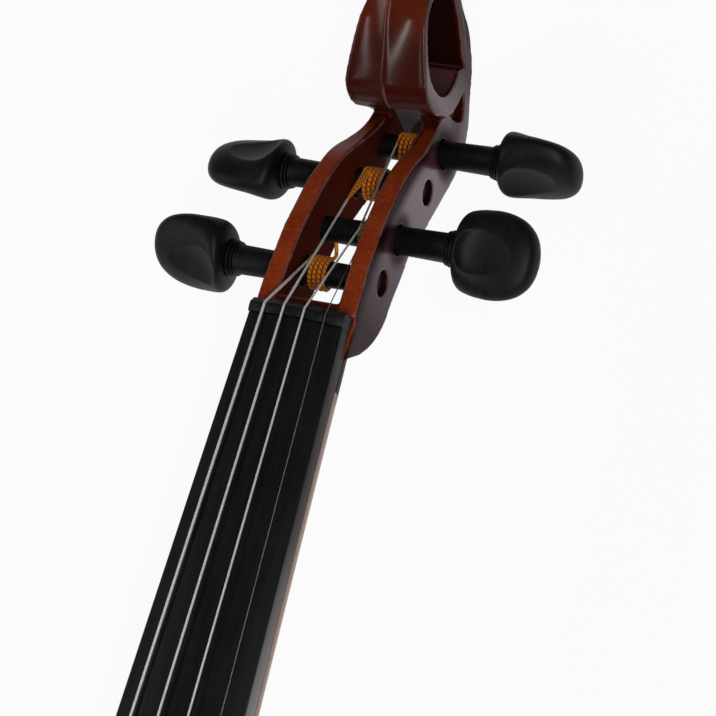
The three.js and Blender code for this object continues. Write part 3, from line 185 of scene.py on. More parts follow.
def turnedPiece(name, profile, axis, steps):
    obj = traceLine(name, profile)
    bpy.ops.mesh.select_all(action="SELECT")
    bpy.ops.mesh.spin(steps=steps, angle=2 * math.pi, center=(0, 0, 0), axis=axis)
    bpy.ops.mesh.select_all(action="SELECT")
    bpy.ops.mesh.remove_doubles(threshold=mm(0.002))
    bpy.ops.object.mode_set(mode="OBJECT")
    return outward(atOrigin(obj))


def applied(obj, kind, **settings):
    mod = obj.modifiers.new(kind.lower(), kind)
    for key, value in settings.items():
        setattr(mod, key, value)
    choose(obj)
    bpy.ops.object.modifier_apply(modifier=mod.name)
    return obj


def combined(obj, tool, how):
    applied(obj, "BOOLEAN", operation=how, object=tool, solver="EXACT")
    bpy.data.objects.remove(tool)
    return obj


def smoothShade(obj, degrees):
    choose(obj)
    bpy.ops.object.shade_smooth_by_angle(angle=math.radians(degrees))
    return obj


def smoothLine(points, steps):  # a smooth curve through the points, in even steps
    ends = [2 * points[0] - points[1], *points, 2 * points[-1] - points[-2]]
    line = []
    for i in range(steps + 1):
        at = (len(points) - 1) * i / steps
        k = min(int(at), len(points) - 2)
        t = at - k
        a, b, c, d = ends[k:k + 4]
        bend, twist = 2 * a - 5 * b + 4 * c - d, 3 * b - a - 3 * c + d
        line.append(0.5 * ((2 * b) + (c - a) * t + bend * t * t + twist * t ** 3))
    return line


def eased(value, start, end):
    share = min(max((value - start) / (end - start), 0), 1)
    return share * share * (3 - 2 * share)


def dress(obj, finish, body, replaces=()):
    obj.data.materials.clear()
    obj.data.materials.append(finish)
    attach(obj, body)
    if replaces:
        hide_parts(*replaces)
    return obj


# Finishes

class Wire:  # one socket that can be used in sums
    def __init__(self, tree, socket):
        self.tree = tree
        self.socket = socket

    def sum(self, kind, *values):
        node = self.tree.nodes.new("ShaderNodeMath")
        node.operation = kind
        for slot, value in zip(node.inputs, values):
            if isinstance(value, Wire):
                self.tree.links.new(value.socket, slot)
            else:
                slot.default_value = value
        return Wire(self.tree, node.outputs[0])

    def __add__(self, other):
        return self.sum("ADD", self, other)

    def __radd__(self, other):
        return self.sum("ADD", other, self)

    def __sub__(self, other):
        return self.sum("SUBTRACT", self, other)

    def __rsub__(self, other):
        return self.sum("SUBTRACT", other, self)

    def __mul__(self, other):
        return self.sum("MULTIPLY", self, other)

    def __rmul__(self, other):
        return self.sum("MULTIPLY", other, self)

    def __truediv__(self, other):
        return self.sum("DIVIDE", self, other)

    def __abs__(self):
        return self.sum("ABSOLUTE", self)

    def fraction(self):
        return self.sum("FRACT", self)

    def above(self, limit):
        return self.sum("GREATER_THAN", self, limit)

    def held(self):
        return self.sum("MINIMUM", self.sum("MAXIMUM", self, 0.0), 1.0)

    def between(self, start, end):  # 0 at the start, 1 at the end
        return ((self - start) / (end - start)).held()


class Nodes:
    def __init__(self, tree):
        self.tree = tree

    def node(self, kind, settings=None, out=0, **inputs):  # n0, n1 ... are sockets by number
        node = self.tree.nodes.new("ShaderNode" + kind)
        for key, value in (settings or {}).items():
            if key == "stops":
                ramp = node.color_ramp
                while len(ramp.elements) < len(value):
                    ramp.elements.new(0.5)
                for element, (spot, colour) in zip(ramp.elements, value):
                    element.position = spot
                    element.color = (*colour, 1)
            else:
                setattr(node, key, value)
        for key, value in inputs.items():
            socket = node.inputs[int(key[1:])] if key[1:].isdigit() else node.inputs[key]
            if isinstance(value, Wire):
                self.tree.links.new(value.socket, socket)
            elif socket.type == "RGBA":
                socket.default_value = (*value, 1)
            else:
                socket.default_value = value
        return Wire(self.tree, node.outputs[out]) if node.outputs else node


class Finish(Nodes):
    def __init__(self, name, **constants):
        self.material = bpy.data.materials.new(name)
        self.material.use_nodes = True
        super().__init__(self.material.node_tree)
        self.shader = self.tree.nodes["Principled BSDF"]
        for key, value in constants.items():
            self.shader.inputs[key.replace("_", " ")].default_value = value
        self.coords = None

    def spot(self):
        self.coords = self.coords or self.node("TexCoord", out="Object")
        return self.coords

    def where(self, scale=(1, 1, 1)):
        return self.node("Mapping", n0=self.spot(), n3=scale)

    def noise(self, scale, detail=3.0, rough=0.5, at=None, distortion=0.0):
        return self.node("TexNoise", Vector=at or self.where(), Scale=scale, Detail=detail, Roughness=rough,
                         Distortion=distortion)

    def ramp(self, value, stops):
        return self.node("ValToRGB", {"stops": stops}, n0=value)

    def mask(self, value, start, end):  # the same as between, for the share of a colour
        stops = [(start, (0, 0, 0)), (end, (1, 1, 1))] if start < end else [(end, (1, 1, 1)), (start, (0, 0, 0))]
        return self.node("SeparateColor", n0=self.ramp(value, stops))

    def blend(self, share, first, second):
        return self.node("Mix", {"data_type": "RGBA"}, 2, n0=share, n6=first, n7=second)

    def axis(self, letter):
        return self.node("SeparateXYZ", out="XYZ".index(letter), n0=self.spot())

    def mark(self, key):
        return self.node("Attribute", {"attribute_name": key}, out="Fac")

    def bump(self, height, depth, strength):
        self.give("Normal", self.node("Bump", Strength=strength, Distance=mm(depth), Height=height))

    def give(self, socket, wire):
        self.tree.links.new(wire.socket, self.shader.inputs[socket])


lacquer = {
    "dark": (0.016, 0.0008, 0.0004),
    "red": (0.1, 0.007, 0.002),
    "warm": (0.36, 0.042, 0.008),
    "shade": (0.12, 0.034, 0.062),  # painted lilac sheen for the flanks, standing in for the white floor's reflection
    # painted light on the floor of the eye, which faces up
    "lit": (0.11, 0.045, 0.045),
    # painted highlight along convex edges and at the foot of the ridge
    "edgeHighlight": (0.3, 0.17, 0.15),
    # painted grey reflection on the throat's end wall, in the shape of a V
    "veeSheen": (0.1, 0.085, 0.1),
    # dark red that replaces the flanks' painted sheen towards the ring
    "ring": (0.05, 0.01, 0.01),
    # painted light at the brow, the top of the scroll
    "glow": (0.2, 0.012, 0.004),
    "curl": (0.4, 0.08, 0.02),
    "mottle": (0.5, 0.085, 0.016),
    "pore": (0.03, 0.003, 0.002),
    # painted shade deep in the eye of the scroll
    "eye": (0.004, 0.0003, 0.0002),
    # painted shade on the walls of the peg holes
    "hole": (0.003, 0.002, 0.002),
    "warmth": 0.5,
    "bodyFlame": 1.0,
    "headFlame": 0.7,
    "grainScale": 620.0,
    "flameScale": 95.0,
    "poreScale": 900.0,
    "mottleScale": 1300.0,
    "driftScale": 28.0,
    "coatRoughness": 0.2,
    "headCoatRoughness": 0.22,
    "grainDepth": 0.04,
}
headTints = {  # each starts at the first value and is full at the second, in the board's millimetres
    "scroll": (60.8, 62.4), "browUp": (74, 92), "browOut": (-18, -8), "rimDown": (-1.5, -5.5), "rimUp": (60, 66),
    "paintedShade": (45, 61), "away": (68, 82), "tall": (4, 42), "throat": (61, 65), "polish": (66, 76),
}


def makeLacquer(name):
    f = Finish(name, Coat_Roughness=lacquer["coatRoughness"], IOR=1.5, Specular_IOR_Level=0.12)
    base, grain, drift = lacquerColour(f, lacquer["bodyFlame"])
    f.give("Base Color", base)
    f.give("Roughness", 0.3 + 0.16 * drift)
    f.give("Coat Weight", 0.6 + 0.1 * drift)
    f.bump(grain * 0.6 + drift * 2.0, lacquer["grainDepth"], 0.5)
    return f.material


def lacquerColour(f, flame):
    long = f.where(scale=(1, 0.16, 1))
    cross = f.where(scale=(0.35, 1, 0.35))
    grain = f.noise(lacquer["grainScale"], 5.0, 0.6, long)
    pores = f.noise(lacquer["poreScale"], 2.0, 0.5, long)
    drift = f.noise(lacquer["driftScale"], 3.0, 0.55)
    curl = f.noise(lacquer["flameScale"], 3.0, 0.5, cross, 0.6)
    mottle = f.noise(lacquer["mottleScale"], 2.0, 0.6)
    tones = [(0.32, lacquer["dark"]), (0.5, lacquer["red"]), (0.72, lacquer["warm"])]
    base = f.ramp(drift * 0.55 + grain * 0.45, tones)
    base = f.blend(lacquer["warmth"], base, lacquer["warm"])
    base = f.blend(f.mask(curl, 0.38, 0.62) * 0.35 * flame, base, lacquer["curl"])
    base = f.blend(f.mask(pores, 0.44, 0.34) * 0.12, base, lacquer["pore"])
    base = f.blend(f.mask(mottle, 0.42, 0.66) * 0.45 * flame, base, lacquer["mottle"])
    return base, grain, drift


def makeHeadLacquer(name):  # the carved head: its points are marked by markHead
    f = Finish(name, Coat_Roughness=lacquer["headCoatRoughness"], IOR=1.5, Specular_IOR_Level=0.05)
    base, grain, drift = lacquerColour(f, lacquer["headFlame"])
    y, z = f.axis("Y") * 1000 - boardOrigin["y"], f.axis("Z") * 1000 - boardOrigin["z"]
    inside, flank, edge, hole = (f.mark(key) for key in ("inside", "flank", "edge", "hole"))
    eye, eyeFloor = f.mark("eye"), f.mark("eyeFloor")
    scroll = y.between(*headTints["scroll"]) * (1 - inside) * (1 - flank)
    brow = y.between(*headTints["browUp"]) * z.between(*headTints["browOut"])
    away = y.between(*headTints["away"])
    # Flanks: painted shade along the cheeks' front edge (rim), and a painted lilac sheen that grows with height
    # (tall) and fades at the throat
    frontEdge = z + (y - 4) * (y - 4) * 0.0072 + 5.3  # how far above the line of the cheeks' front edge
    rim = (frontEdge.between(*headTints["rimDown"]) + y.between(*headTints["rimUp"])).held()
    tall = (0.06 + 0.94 * y.between(*headTints["tall"])) * (1 - 0.3 * y.between(*headTints["throat"]))
    # the sheen fades towards the ring, and round the peg shafts a painted shadow (collar) darkens the flank
    tall = tall * (1 - 0.8 * away) * (1 - f.mark("collar"))
    # painted shade: darker up the cheeks and on the scroll, less at its brow
    paintedShade = y.between(*headTints["paintedShade"]) * 0.42 + scroll * (0.46 - 0.54 * brow)
    side = f.blend(rim * (0.2 + 0.8 * tall), lacquer["dark"], lacquer["shade"])
    # towards the ring the painted sheen gives way to a darker red
    side = f.blend(away, side, lacquer["ring"])
    # painted light and shade: paintedShade darkens towards the scroll, the brow gets painted light, the pegbox
    # inside painted shade
    layers = [(paintedShade, lacquer["dark"]), (scroll * brow * 0.5, lacquer["glow"]), (inside * 0.75, lacquer["dark"]),
              # the flanks get painted sheen and shade, the eye painted shade and its floor painted light
              (flank, side), (eye * 0.85, lacquer["eye"]), (eyeFloor * 0.8, lacquer["lit"]),
              # the edges get painted highlights, the V a painted reflection and the peg holes painted shade
              (edge * 0.65, lacquer["edgeHighlight"]), (f.mark("vee"), lacquer["veeSheen"]), (hole * 0.95, lacquer["hole"])]
    for share, tint in layers:
        base = f.blend(share, base, tint)
    polish = 0.2 * (1 - inside) * (1 - flank) * (1 - scroll)
    polish = polish + scroll * (0.12 + 0.4 * y.between(*headTints["polish"]))
    f.give("Base Color", base)
    f.give("Roughness", 0.34 + 0.16 * drift + 0.4 * (inside + eye).held())
    f.give("Coat Weight", ((polish + flank * rim * tall) * (1 - hole) * (1 - eye)).held())
    f.bump(grain * 0.6 + drift * 2.0, lacquer["grainDepth"], 0.5)
    return f.material


ebony = {
    "dark": (0.002, 0.002, 0.0022),
    "pale": (0.009, 0.0085, 0.009),
    "roughness": 0.4,
    "grainScale": 900.0,
    "grainDepth": 0.03,
    "sideRim": (-0.5, -0.1),  # across the board, from its edge: where the polish of its sides starts and is full
    "sideFade": (-45, -135),  # the same, along the board
    "sideIOR": 3.2,
}
silk = {
    "orange": ((1.0, 0.36, 0.012), (0.3, 0.012, 0.001)),  # ridges with a painted highlight, gaps with painted shade
    "green": ((0.6, 0.52, 0.06), (0.08, 0.055, 0.01)),
    "wrapsPerMetre": 900.0,
    "fuzzScale": 4200.0,
    "ridgeDepth": 0.08,
}
maple = {
    "rings": [(0.3, (0.42, 0.235, 0.1)), (0.55, (0.6, 0.37, 0.17)), (0.75, (0.68, 0.44, 0.22))],
    "fleck": (0.3, 0.14, 0.05),
    "ringScale": 520.0,
    "fleckScale": 1500.0,
}
cork = {
    "cells": [(0.3, (0.14, 0.07, 0.03)), (0.48, (0.4, 0.22, 0.1)), (0.8, (0.55, 0.34, 0.17))],
    "cellScale": 700.0,
    "patchScale": 420.0,
    "cellDepth": 0.18,
}
circuit = {
    "board": (0.012, 0.11, 0.05),
    "track": (0.05, 0.24, 0.11),
    "tracksPerMetre": 420.0,
    "weaveScale": 1800.0,
}


def makeEbony(name, sides=False):
    f = Finish(name, IOR=1.5, Specular_IOR_Level=0.2, Coat_Roughness=0.12, Coat_IOR=ebony["sideIOR"])
    if sides:
        y = f.axis("Y") - mm(boardOrigin["y"])
        taper = 0.5 * (boardSize["endWidth"] - boardSize["nutWidth"]) / boardSize["length"]
        half = mm(0.5 * boardSize["nutWidth"]) - y * taper
        rim = (abs(f.axis("X")) - half).between(*(mm(v) for v in ebony["sideRim"]))
        f.give("Coat Weight", rim * y.between(*(mm(v) for v in ebony["sideFade"])))
    else:
        f.shader.inputs["Coat Weight"].default_value = 0.0
    grain = f.noise(ebony["grainScale"], 4.0, 0.6, f.where(scale=(1, 0.08, 1)))
    smear = f.noise(60.0)
    f.give("Base Color", f.ramp(grain, [(0.3, ebony["dark"]), (0.7, ebony["pale"])]))
    f.give("Roughness", ebony["roughness"] + 0.14 * smear)
    f.bump(grain + smear * 0.4, ebony["grainDepth"], 0.45)
    return f.material


def makeSilk(name, light, deep):
    f = Finish(name, Sheen_Weight=0.1, Specular_IOR_Level=0.2)
    wrap = (f.mark("along") * silk["wrapsPerMetre"] + f.mark("around")).fraction()
    ridge = (1.3 - abs(wrap - 0.5) * 2.6).held()
    fuzz = f.noise(silk["fuzzScale"], 2.0)
    # painted highlight along each strand's ridge and painted shade in the gaps between
    f.give("Base Color", f.blend(ridge * 0.8 + fuzz * 0.2, deep, light))
    f.give("Roughness", 0.62 + 0.25 * fuzz)
    f.bump(ridge + fuzz * 0.5, silk["ridgeDepth"], 0.8)
    return f.material


def makeMetal(name, colour, rough, streak=(1, 1, 1), scale=700.0, metallic=1.0):
    f = Finish(name, Metallic=metallic)
    marks = f.noise(scale, 4.0, 0.6, f.where(scale=streak))
    stain = f.noise(45.0)
    f.give("Base Color", f.blend(marks * 0.5 + stain * 0.3, colour, tuple(0.72 * c for c in colour)))
    f.give("Roughness", rough - 0.06 + 0.22 * marks + 0.08 * stain)
    f.bump(marks, 0.01, 0.4)
    return f.material


def makePlastic(name, colour):
    f = Finish(name, IOR=1.47)
    smear = f.noise(70.0)
    f.give("Base Color", f.blend(smear, colour, tuple(0.7 * c for c in colour)))
    f.give("Roughness", 0.42 + 0.16 * smear)
    f.bump(f.noise(1500.0, 2.0), 0.03, 0.5)
    return f.material


def makeMaple(name):
    f = Finish(name, IOR=1.45)
    rings = f.noise(maple["ringScale"], 4.0, 0.55, f.where(scale=(0.12, 1, 1)))
    flecks = f.noise(maple["fleckScale"], 2.0, 0.5, f.where(scale=(0.3, 1, 1)))
    f.give("Base Color", f.blend(f.mask(flecks, 0.42, 0.32) * 0.55, f.ramp(rings, maple["rings"]), maple["fleck"]))
    f.give("Roughness", 0.45 + 0.2 * rings)
    f.bump(rings + flecks, 0.04, 0.5)
    return f.material


def makeCork(name):
    f = Finish(name, Specular_IOR_Level=0.25)
    cells = f.node("TexVoronoi", {"feature": "F1"}, Vector=f.where(), Scale=cork["cellScale"])
    patches = f.noise(cork["patchScale"], 4.0, 0.65)
    f.give("Base Color", f.ramp(patches * 0.7 + cells * 0.5, cork["cells"]))
    f.give("Roughness", 0.8 + 0.15 * patches)
    f.bump(patches + cells, cork["cellDepth"], 0.8)
    return f.material


def makeCircuit(name):
    f = Finish(name, IOR=1.5)
    tracks = (f.axis("X") * circuit["tracksPerMetre"]).fraction().above(0.62) * f.noise(60.0, 1.0).above(0.5)
    weave = f.noise(circuit["weaveScale"], 2.0)
    f.give("Base Color", f.blend(tracks * 0.7, circuit["board"], circuit["track"]))
    f.give("Roughness", 0.35 + 0.25 * weave)
    f.bump(tracks + weave * 0.2, 0.04, 0.6)
    return f.material


finishes = {
    "red_lacquer": makeLacquer("bodyLacquer"),
    "ebony": makeEbony("ebony"),
    "maple": makeMaple("maple"),
    "black_metal": makeMetal("blackMetal", (0.028, 0.028, 0.031), 0.4, scale=1200.0),
    "black_plastic": makePlastic("blackPlastic", (0.016, 0.016, 0.018)),
    "orange_silk": makeSilk("orangeSilk", *silk["orange"]),
    "green_silk": makeSilk("greenSilk", *silk["green"]),
    "string_metal": makeMetal("stringMetal", (0.92, 0.92, 0.93), 0.24, (1, 0.2, 1), 1600.0, 0.4),
    "thin_metal": makeMetal("thinMetal", (0.3, 0.3, 0.31), 0.3, (1, 0.2, 1), 1600.0),
    "cork": makeCork("cork"),
    "clamp_steel": makeMetal("clampSteel", (0.72, 0.72, 0.74), 0.22, (1, 1, 0.1), 900.0),
    "fibreglass": makeCircuit("circuitBoard"),
    "battery_case": makeMetal("batteryCase", (0.34, 0.35, 0.38), 0.36, (0.1, 1, 1), 800.0, 0.85),
}

for node in nodes.values():
    for slot in node.material_slots:
        slot.material = finishes[slot.material.name.split(".")[0]]
for slot in nodes["fingerboard"].material_slots:
    slot.material = makeEbony("boardEbony", sides=True)
print("finishes on all", len(nodes), "nodes")


# Sizes shared by the head, the pegs and the strings

head = {
    "widths": [(-8.2, 24.8), (4.1, 25.3), (56, 22.5), (64, 21.8), (66.7, 20.7), (70, 19.5), (76, 17.66), (82, 16.1),
               (90, 14.5), (102.3, 13.3)],
    "cut": [(-8.2, 25.1), (4.1, 25.6), (56, 22.9), (62, 22.3), (66.7, 21.5), (70, 20.5), (76, 18.6), (82, 16.7),
            (90, 14.9), (102.3, 13.6)],  # wider, for what carving and smoothing take away
    "blankHalf": 13.2, "layers": 66, "back": -55.0, "front": 5.0,
    "cheek": 4.7, "cavityStart": 6.6, "corner": 4.7, "throat": 61.8, "throatBack": 65.6, "throatDepth": 22.0,
    "nearHole": 3.8, "farHole": 3.2, "pocketAt": 73.5, "pocketWall": 2.2,
    "voxel": 0.36, "smoothings": 3,
}
strings = {  # each peg's place and turn, its string, and the winding on it
    "g": {"side": -1, "at": (16.7, -16.8), "turn": 54, "gauge": 0.7,
          "start": -6.0, "loops": 4.1, "wire": 0.95, "pitch": 1.2, "silk": 2.0},
    "d": {"side": -1, "at": (45.8, -30.6), "turn": -40, "gauge": 0.62,
          "start": -4.8, "loops": 4.5, "wire": 0.95, "pitch": 1.2, "silk": 12.0},
    "a": {"side": 1, "at": (58.5, -36.7), "turn": 74, "gauge": 0.54, "over": (2.8, 29.2, -16.6),  # on the E peg
          "start": -0.8, "loops": 4.0, "wire": 0.9, "pitch": 1.2, "silk": 3.0},
    "e": {"side": 1, "at": (29.2, -20.4), "turn": 18, "gauge": 0.27,
          "start": 4.6, "loops": 3.0, "wire": 0.5, "pitch": -0.6, "silk": 1.5},
}


def halfWidth(y):
    spans = head["widths"]
    for (y0, w0), (y1, w1) in zip(spans, spans[1:]):
        if y <= y1:
            share = min(max((y - y0) / (y1 - y0), 0), 1)
            return 0.5 * (w0 + (w1 - w0) * share)
    return 0.5 * spans[-1][1]


def fall(x):  # how far the board's round face has dropped at x
    return boardSize["radius"] - math.sqrt(boardSize["radius"] ** 2 - x * x)


# The carved head: a traced side profile with two hollows pressed into its front, cut to its front
# outline and pierced. The points of each line say how far up and how far out they are, and those of
# the scroll's front also how deep its hollows are.

cheekLine = [(4.1, -5.3), (15, -6), (25, -7.5), (30, -9), (37, -11.5), (42, -14), (48, -18), (53, -23),
             (57.5, -27), (61, -29.5)]
throatLine = [(65.6, -31.6), (64.6, -27.5), (63.4, -24)]
scrollFront = [(62.3, -20.4, 0.9), (62.7, -16.3, 1.4), (64.4, -12.6, 1.8), (66.8, -10.6, 1.9), (69.8, -8.7, 2.1),
               (73.8, -5.9, 2.8), (77.8, -3.2, 4.0), (81.1, -1.8, 5.0), (84.5, -1.3, 5.4), (88.5, -2.4, 5.0),
               (92.5, -5.2, 4.0), (96, -9.3, 2.8), (98.4, -14.2, 1.8), (99.3, -19.5, 1.1), (98.9, -25, 0.7),
               (97.6, -30.3, 0.0)]
chinLine = [(95.6, -34.9), (93.3, -38.9), (90.7, -42.4), (87.7, -45.2), (84.3, -47), (79, -47.9), (73.4, -48),
            (67, -47.6), (62, -46.8), (57, -45.3), (52, -43.2), (46, -40.2), (39, -36), (30, -30), (20.8, -27.4),
            (15.9, -26), (8.7, -24.2), (2.9, -20.7), (-1.7, -15.5), (-4.4, -10.4), (-5.7, -7.7)]
eyeFront = [(87.6, -10), (84.7, -8.8), (82.4, -8.5), (79.9, -8.7), (76.7, -9.8), (74.5, -10.9), (72, -12.4),
            (70.2, -14.2), (68.9, -16.7), (68.3, -19.7), (68.4, -22.8), (69.3, -26.1), (71.4, -29.9), (74.3, -32.9),
            (77.1, -34.9), (81, -36.7)]
eyeBack = [(83.9, -40.7), (85.5, -38), (87.5, -35.7), (90.2, -32.5), (92.4, -28.4), (94.3, -23.6), (95, -19),
           (94, -14.5), (91.5, -11.5), (87.6, -10)]
pocketLine = [(68.6, -40), (69.9, -42.4), (72.1, -43), (75, -43.2), (77.9, -42.3), (76.1, -41.2), (72.6, -38.9),
              (69.7, -36.9), (68.7, -37.3), (68.6, -40)]
ringLine = [(81, -5.6), (76, -7.4), (72, -9.2), (69.2, -11.2), (67.3, -13.4), (65.1, -16.5), (64.2, -21.2),
            (64.6, -25.7), (66.3, -31.8), (69.1, -35.5), (73.8, -39.3), (78.4, -42), (82.5, -43.2),
            (86, -41.6), (89.1, -39.1), (91.8, -35.8), (94.2, -32.1), (96.4, -27.9)]
hollow = {"ridge": 0.55, "sag": 0.25, "bead": 0.3, "beadShare": 0.93, "beadWidth": 0.055, "reach": 0.02}
flank = {  # how far the curl stands out and the cheeks are drawn in; the pairs are where each starts and is full
    "step": 0.7, "drawLeft": 1.4, "drawRight": 0.7, "flare": 0.5, "start": 48, "stepEnd": 80, "throat": 61.5,
    "wall": (6.5, 4.5), "skin": (1.4, 0.2), "stepGap": (0, 0.8), "stepTop": (10, 14), "stepChin": (37, 43),
    "stepUp": (50, 60), "drawUp": (50, 62), "drawDeep": (-42, -31), "drawOut": (-29, -25),
    "flareDeep": (38, 46), "flareUp": (48, 56), "flareEnd": (70, 80),
}
headMarks = {  # where each mark starts and is full, in millimetres, or as a part of the normal for a face
    "edge": (0.018, 0.06), "flankFace": (0.5, 0.85), "flankSkin": (3.6, 2.8), "cavityWall": (4.2, 4.6),
    "cavityUp": (4.2, 4.8), "cavityDeep": (21.6, 22.2), "collar": (4.5, 8.5), "hole": (3.75, 4.1),
    "holeFace": (0.6, 0.8), "ridgeFoot": (0.15, 0.5), "ridgeUp": (63.4, 65.4), "eyeFace": (-0.1, 0.3),
    "vee": {"from": 59, "point": -46.4, "slope": 3.45 / 15.4, "centre": 0.85, "lean": 0.32, "level": -31},
}
neckShape = {"depth": 12.7, "rootDepth": 13.8, "heelDepth": 44.0, "heelStart": 106.0, "length": 130.0,
             "power": 2.6, "joint": -14.0, "rows": 12, "heelRows": 16}


def flat(points):
    return [Vector(p[:2]) for p in points]


def sidePrism(name, line, low, high):
    return slab(name, [place(low, y, z) for y, z in line], Vector((mm(high - low), 0, 0)))


def frontPrism(name, line, low, high):
    return slab(name, [place(x, y, low) for x, y in line], Vector((0, 0, mm(high - low))))


def boardSeat(y):  # the underside of the board, and half its width
    share = -y / boardSize["length"]
    top, end = (fall(0.5 * boardSize[width]) + boardSize["thickness"] for width in ("nutWidth", "endWidth"))
    width = boardSize["nutWidth"] + (boardSize["endWidth"] - boardSize["nutWidth"]) * share
    return -top + (top - end) * share, 0.5 * width


def loftBar(name, rows):
    arcs = [(math.cos(math.radians(a)), math.sin(math.radians(a))) for a in range(180, 361, 6)]
    y, half, depth = rows[0]
    obj = traceLine(name, [place(half * a, y, boardSeat(min(y, 0))[0] + depth * b) for a, b in arcs])
    bpy.ops.mesh.select_all(action="SELECT")
    bpy.ops.mesh.edge_face_add()
    for (y0, half0, depth0), (y1, half1, depth1) in zip(rows, rows[1:]):
        seat0, seat1 = boardSeat(min(y0, 0))[0], boardSeat(min(y1, 0))[0]
        step = Vector((0, mm(y1 - y0), mm(seat1 - seat0)))
        bpy.ops.mesh.extrude_region_move(TRANSFORM_OT_translate={"value": step})
        bpy.ops.transform.resize(value=(half1 / half0, 1, depth1 / depth0), center_override=place(0, y1, seat1))
    bpy.ops.object.mode_set(mode="OBJECT")
    return outward(atOrigin(obj))


def neckRow(y):
    share = -y / neckShape["heelStart"]
    return (y, boardSeat(y)[1], neckShape["depth"] + (neckShape["rootDepth"] - neckShape["depth"]) * share)


def buildNeck():
    start, length, count = neckShape["heelStart"], neckShape["length"], neckShape["rows"]
    rows = [neckRow(neckShape["joint"] - (start + neckShape["joint"]) * i / count) for i in range(count + 1)]
    for i in range(1, neckShape["heelRows"] + 1):
        share = i / neckShape["heelRows"]
        y = -start - (length - start) * share
        heel = (neckShape["heelDepth"] - neckShape["rootDepth"]) * share ** neckShape["power"]
        rows.append((y, boardSeat(y)[1], neckShape["rootDepth"] + heel))
    return smoothShade(loftBar("neckShaft", rows), 40)


def cylinderAt(name, start, end, radius):
    letGo()
    run = end - start
    turn = run.to_track_quat("Z", "Y").to_euler()
    bpy.ops.mesh.primitive_cylinder_add(vertices=48, radius=mm(radius), depth=run.length,
                                        location=0.5 * (start + end), rotation=turn)
    obj = bpy.context.object
    obj.name = name
    return atOrigin(obj)


def boardPlace(vertex):
    return vertex.co.x * 1000, vertex.co.y * 1000 - boardOrigin["y"], vertex.co.z * 1000 - boardOrigin["z"]


def pressFront(obj, front):  # sinks the front's rows from the ridge out to each rim
    normals = []
    for i, point in enumerate(front):
        before, after = front[max(i - 1, 0)], front[min(i + 1, len(front) - 1)]
        run = Vector((after.x - before.x, after.y - before.y)).normalized()
        normals.append(Vector((-run.y, run.x)))
    for vertex in obj.data.vertices:
        x, y, z = boardPlace(vertex)
        nearest = min(range(len(front)), key=lambda i: (front[i].x - y) ** 2 + (front[i].y - z) ** 2)
        point = front[nearest]
        if (point.x - y) ** 2 + (point.y - z) ** 2 > hollow["reach"] ** 2:
            continue
        share = max(0, (abs(x) - hollow["ridge"]) / (halfWidth(y) - hollow["ridge"]))
        within = min(share, 1)
        drop = point.z * (within + 4 * hollow["sag"] * within * (1 - within))
        fromBead = (share - hollow["beadShare"]) / hollow["beadWidth"]
        depth = max(0, drop - hollow["bead"] * math.exp(-fromBead ** 2) * min(1, point.z))
        vertex.co.y -= mm(normals[nearest].x * depth)
        vertex.co.z -= mm(normals[nearest].y * depth)


def carveFlanks(obj):  # leaves the curl standing proud of the flanks and draws the cheeks in under it
    ring = flat(ringLine)
    legs = list(zip(ring, ring[1:]))
    for vertex in obj.data.vertices:
        x, y, z = boardPlace(vertex)
        if y < flank["start"] or abs(x) < 2:
            continue
        side = 1 if x > 0 else -1
        spot = Vector((y, z))
        wall, skin = (eased(abs(x), *(halfWidth(y) - v for v in flank[key])) for key in ("wall", "skin"))
        gap, outside = 99, True
        for a, b in legs:
            run = b - a
            share = min(max((spot - a).dot(run) / run.length_squared, 0), 1)
            away = spot - (a + run * share)
            if away.length < gap:
                gap, outside = away.length, run.x * away.y - run.y * away.x < 0
        move = 0
        if outside and y < flank["stepEnd"]:
            step = flank["step"] * skin * eased(gap, *flank["stepGap"]) * (1 - eased(-z, *flank["stepChin"]))
            move += step * eased(-z, *flank["stepTop"]) * eased(y, *flank["stepUp"])
        if outside or y < flank["drawUp"][1]:
            draw = flank["drawLeft"] if side < 0 else flank["drawRight"]
            move += draw * eased(y, *flank["drawUp"]) * eased(z, *flank["drawDeep"]) * wall
            if y > flank["throat"]:
                move *= 1 - eased(z, *flank["drawOut"])
        flare = flank["flare"] * eased(-z, *flank["flareDeep"]) * eased(y, *flank["flareUp"])
        move -= flare * (1 - eased(y, *flank["flareEnd"])) * wall
        vertex.co.x -= mm(side * move)


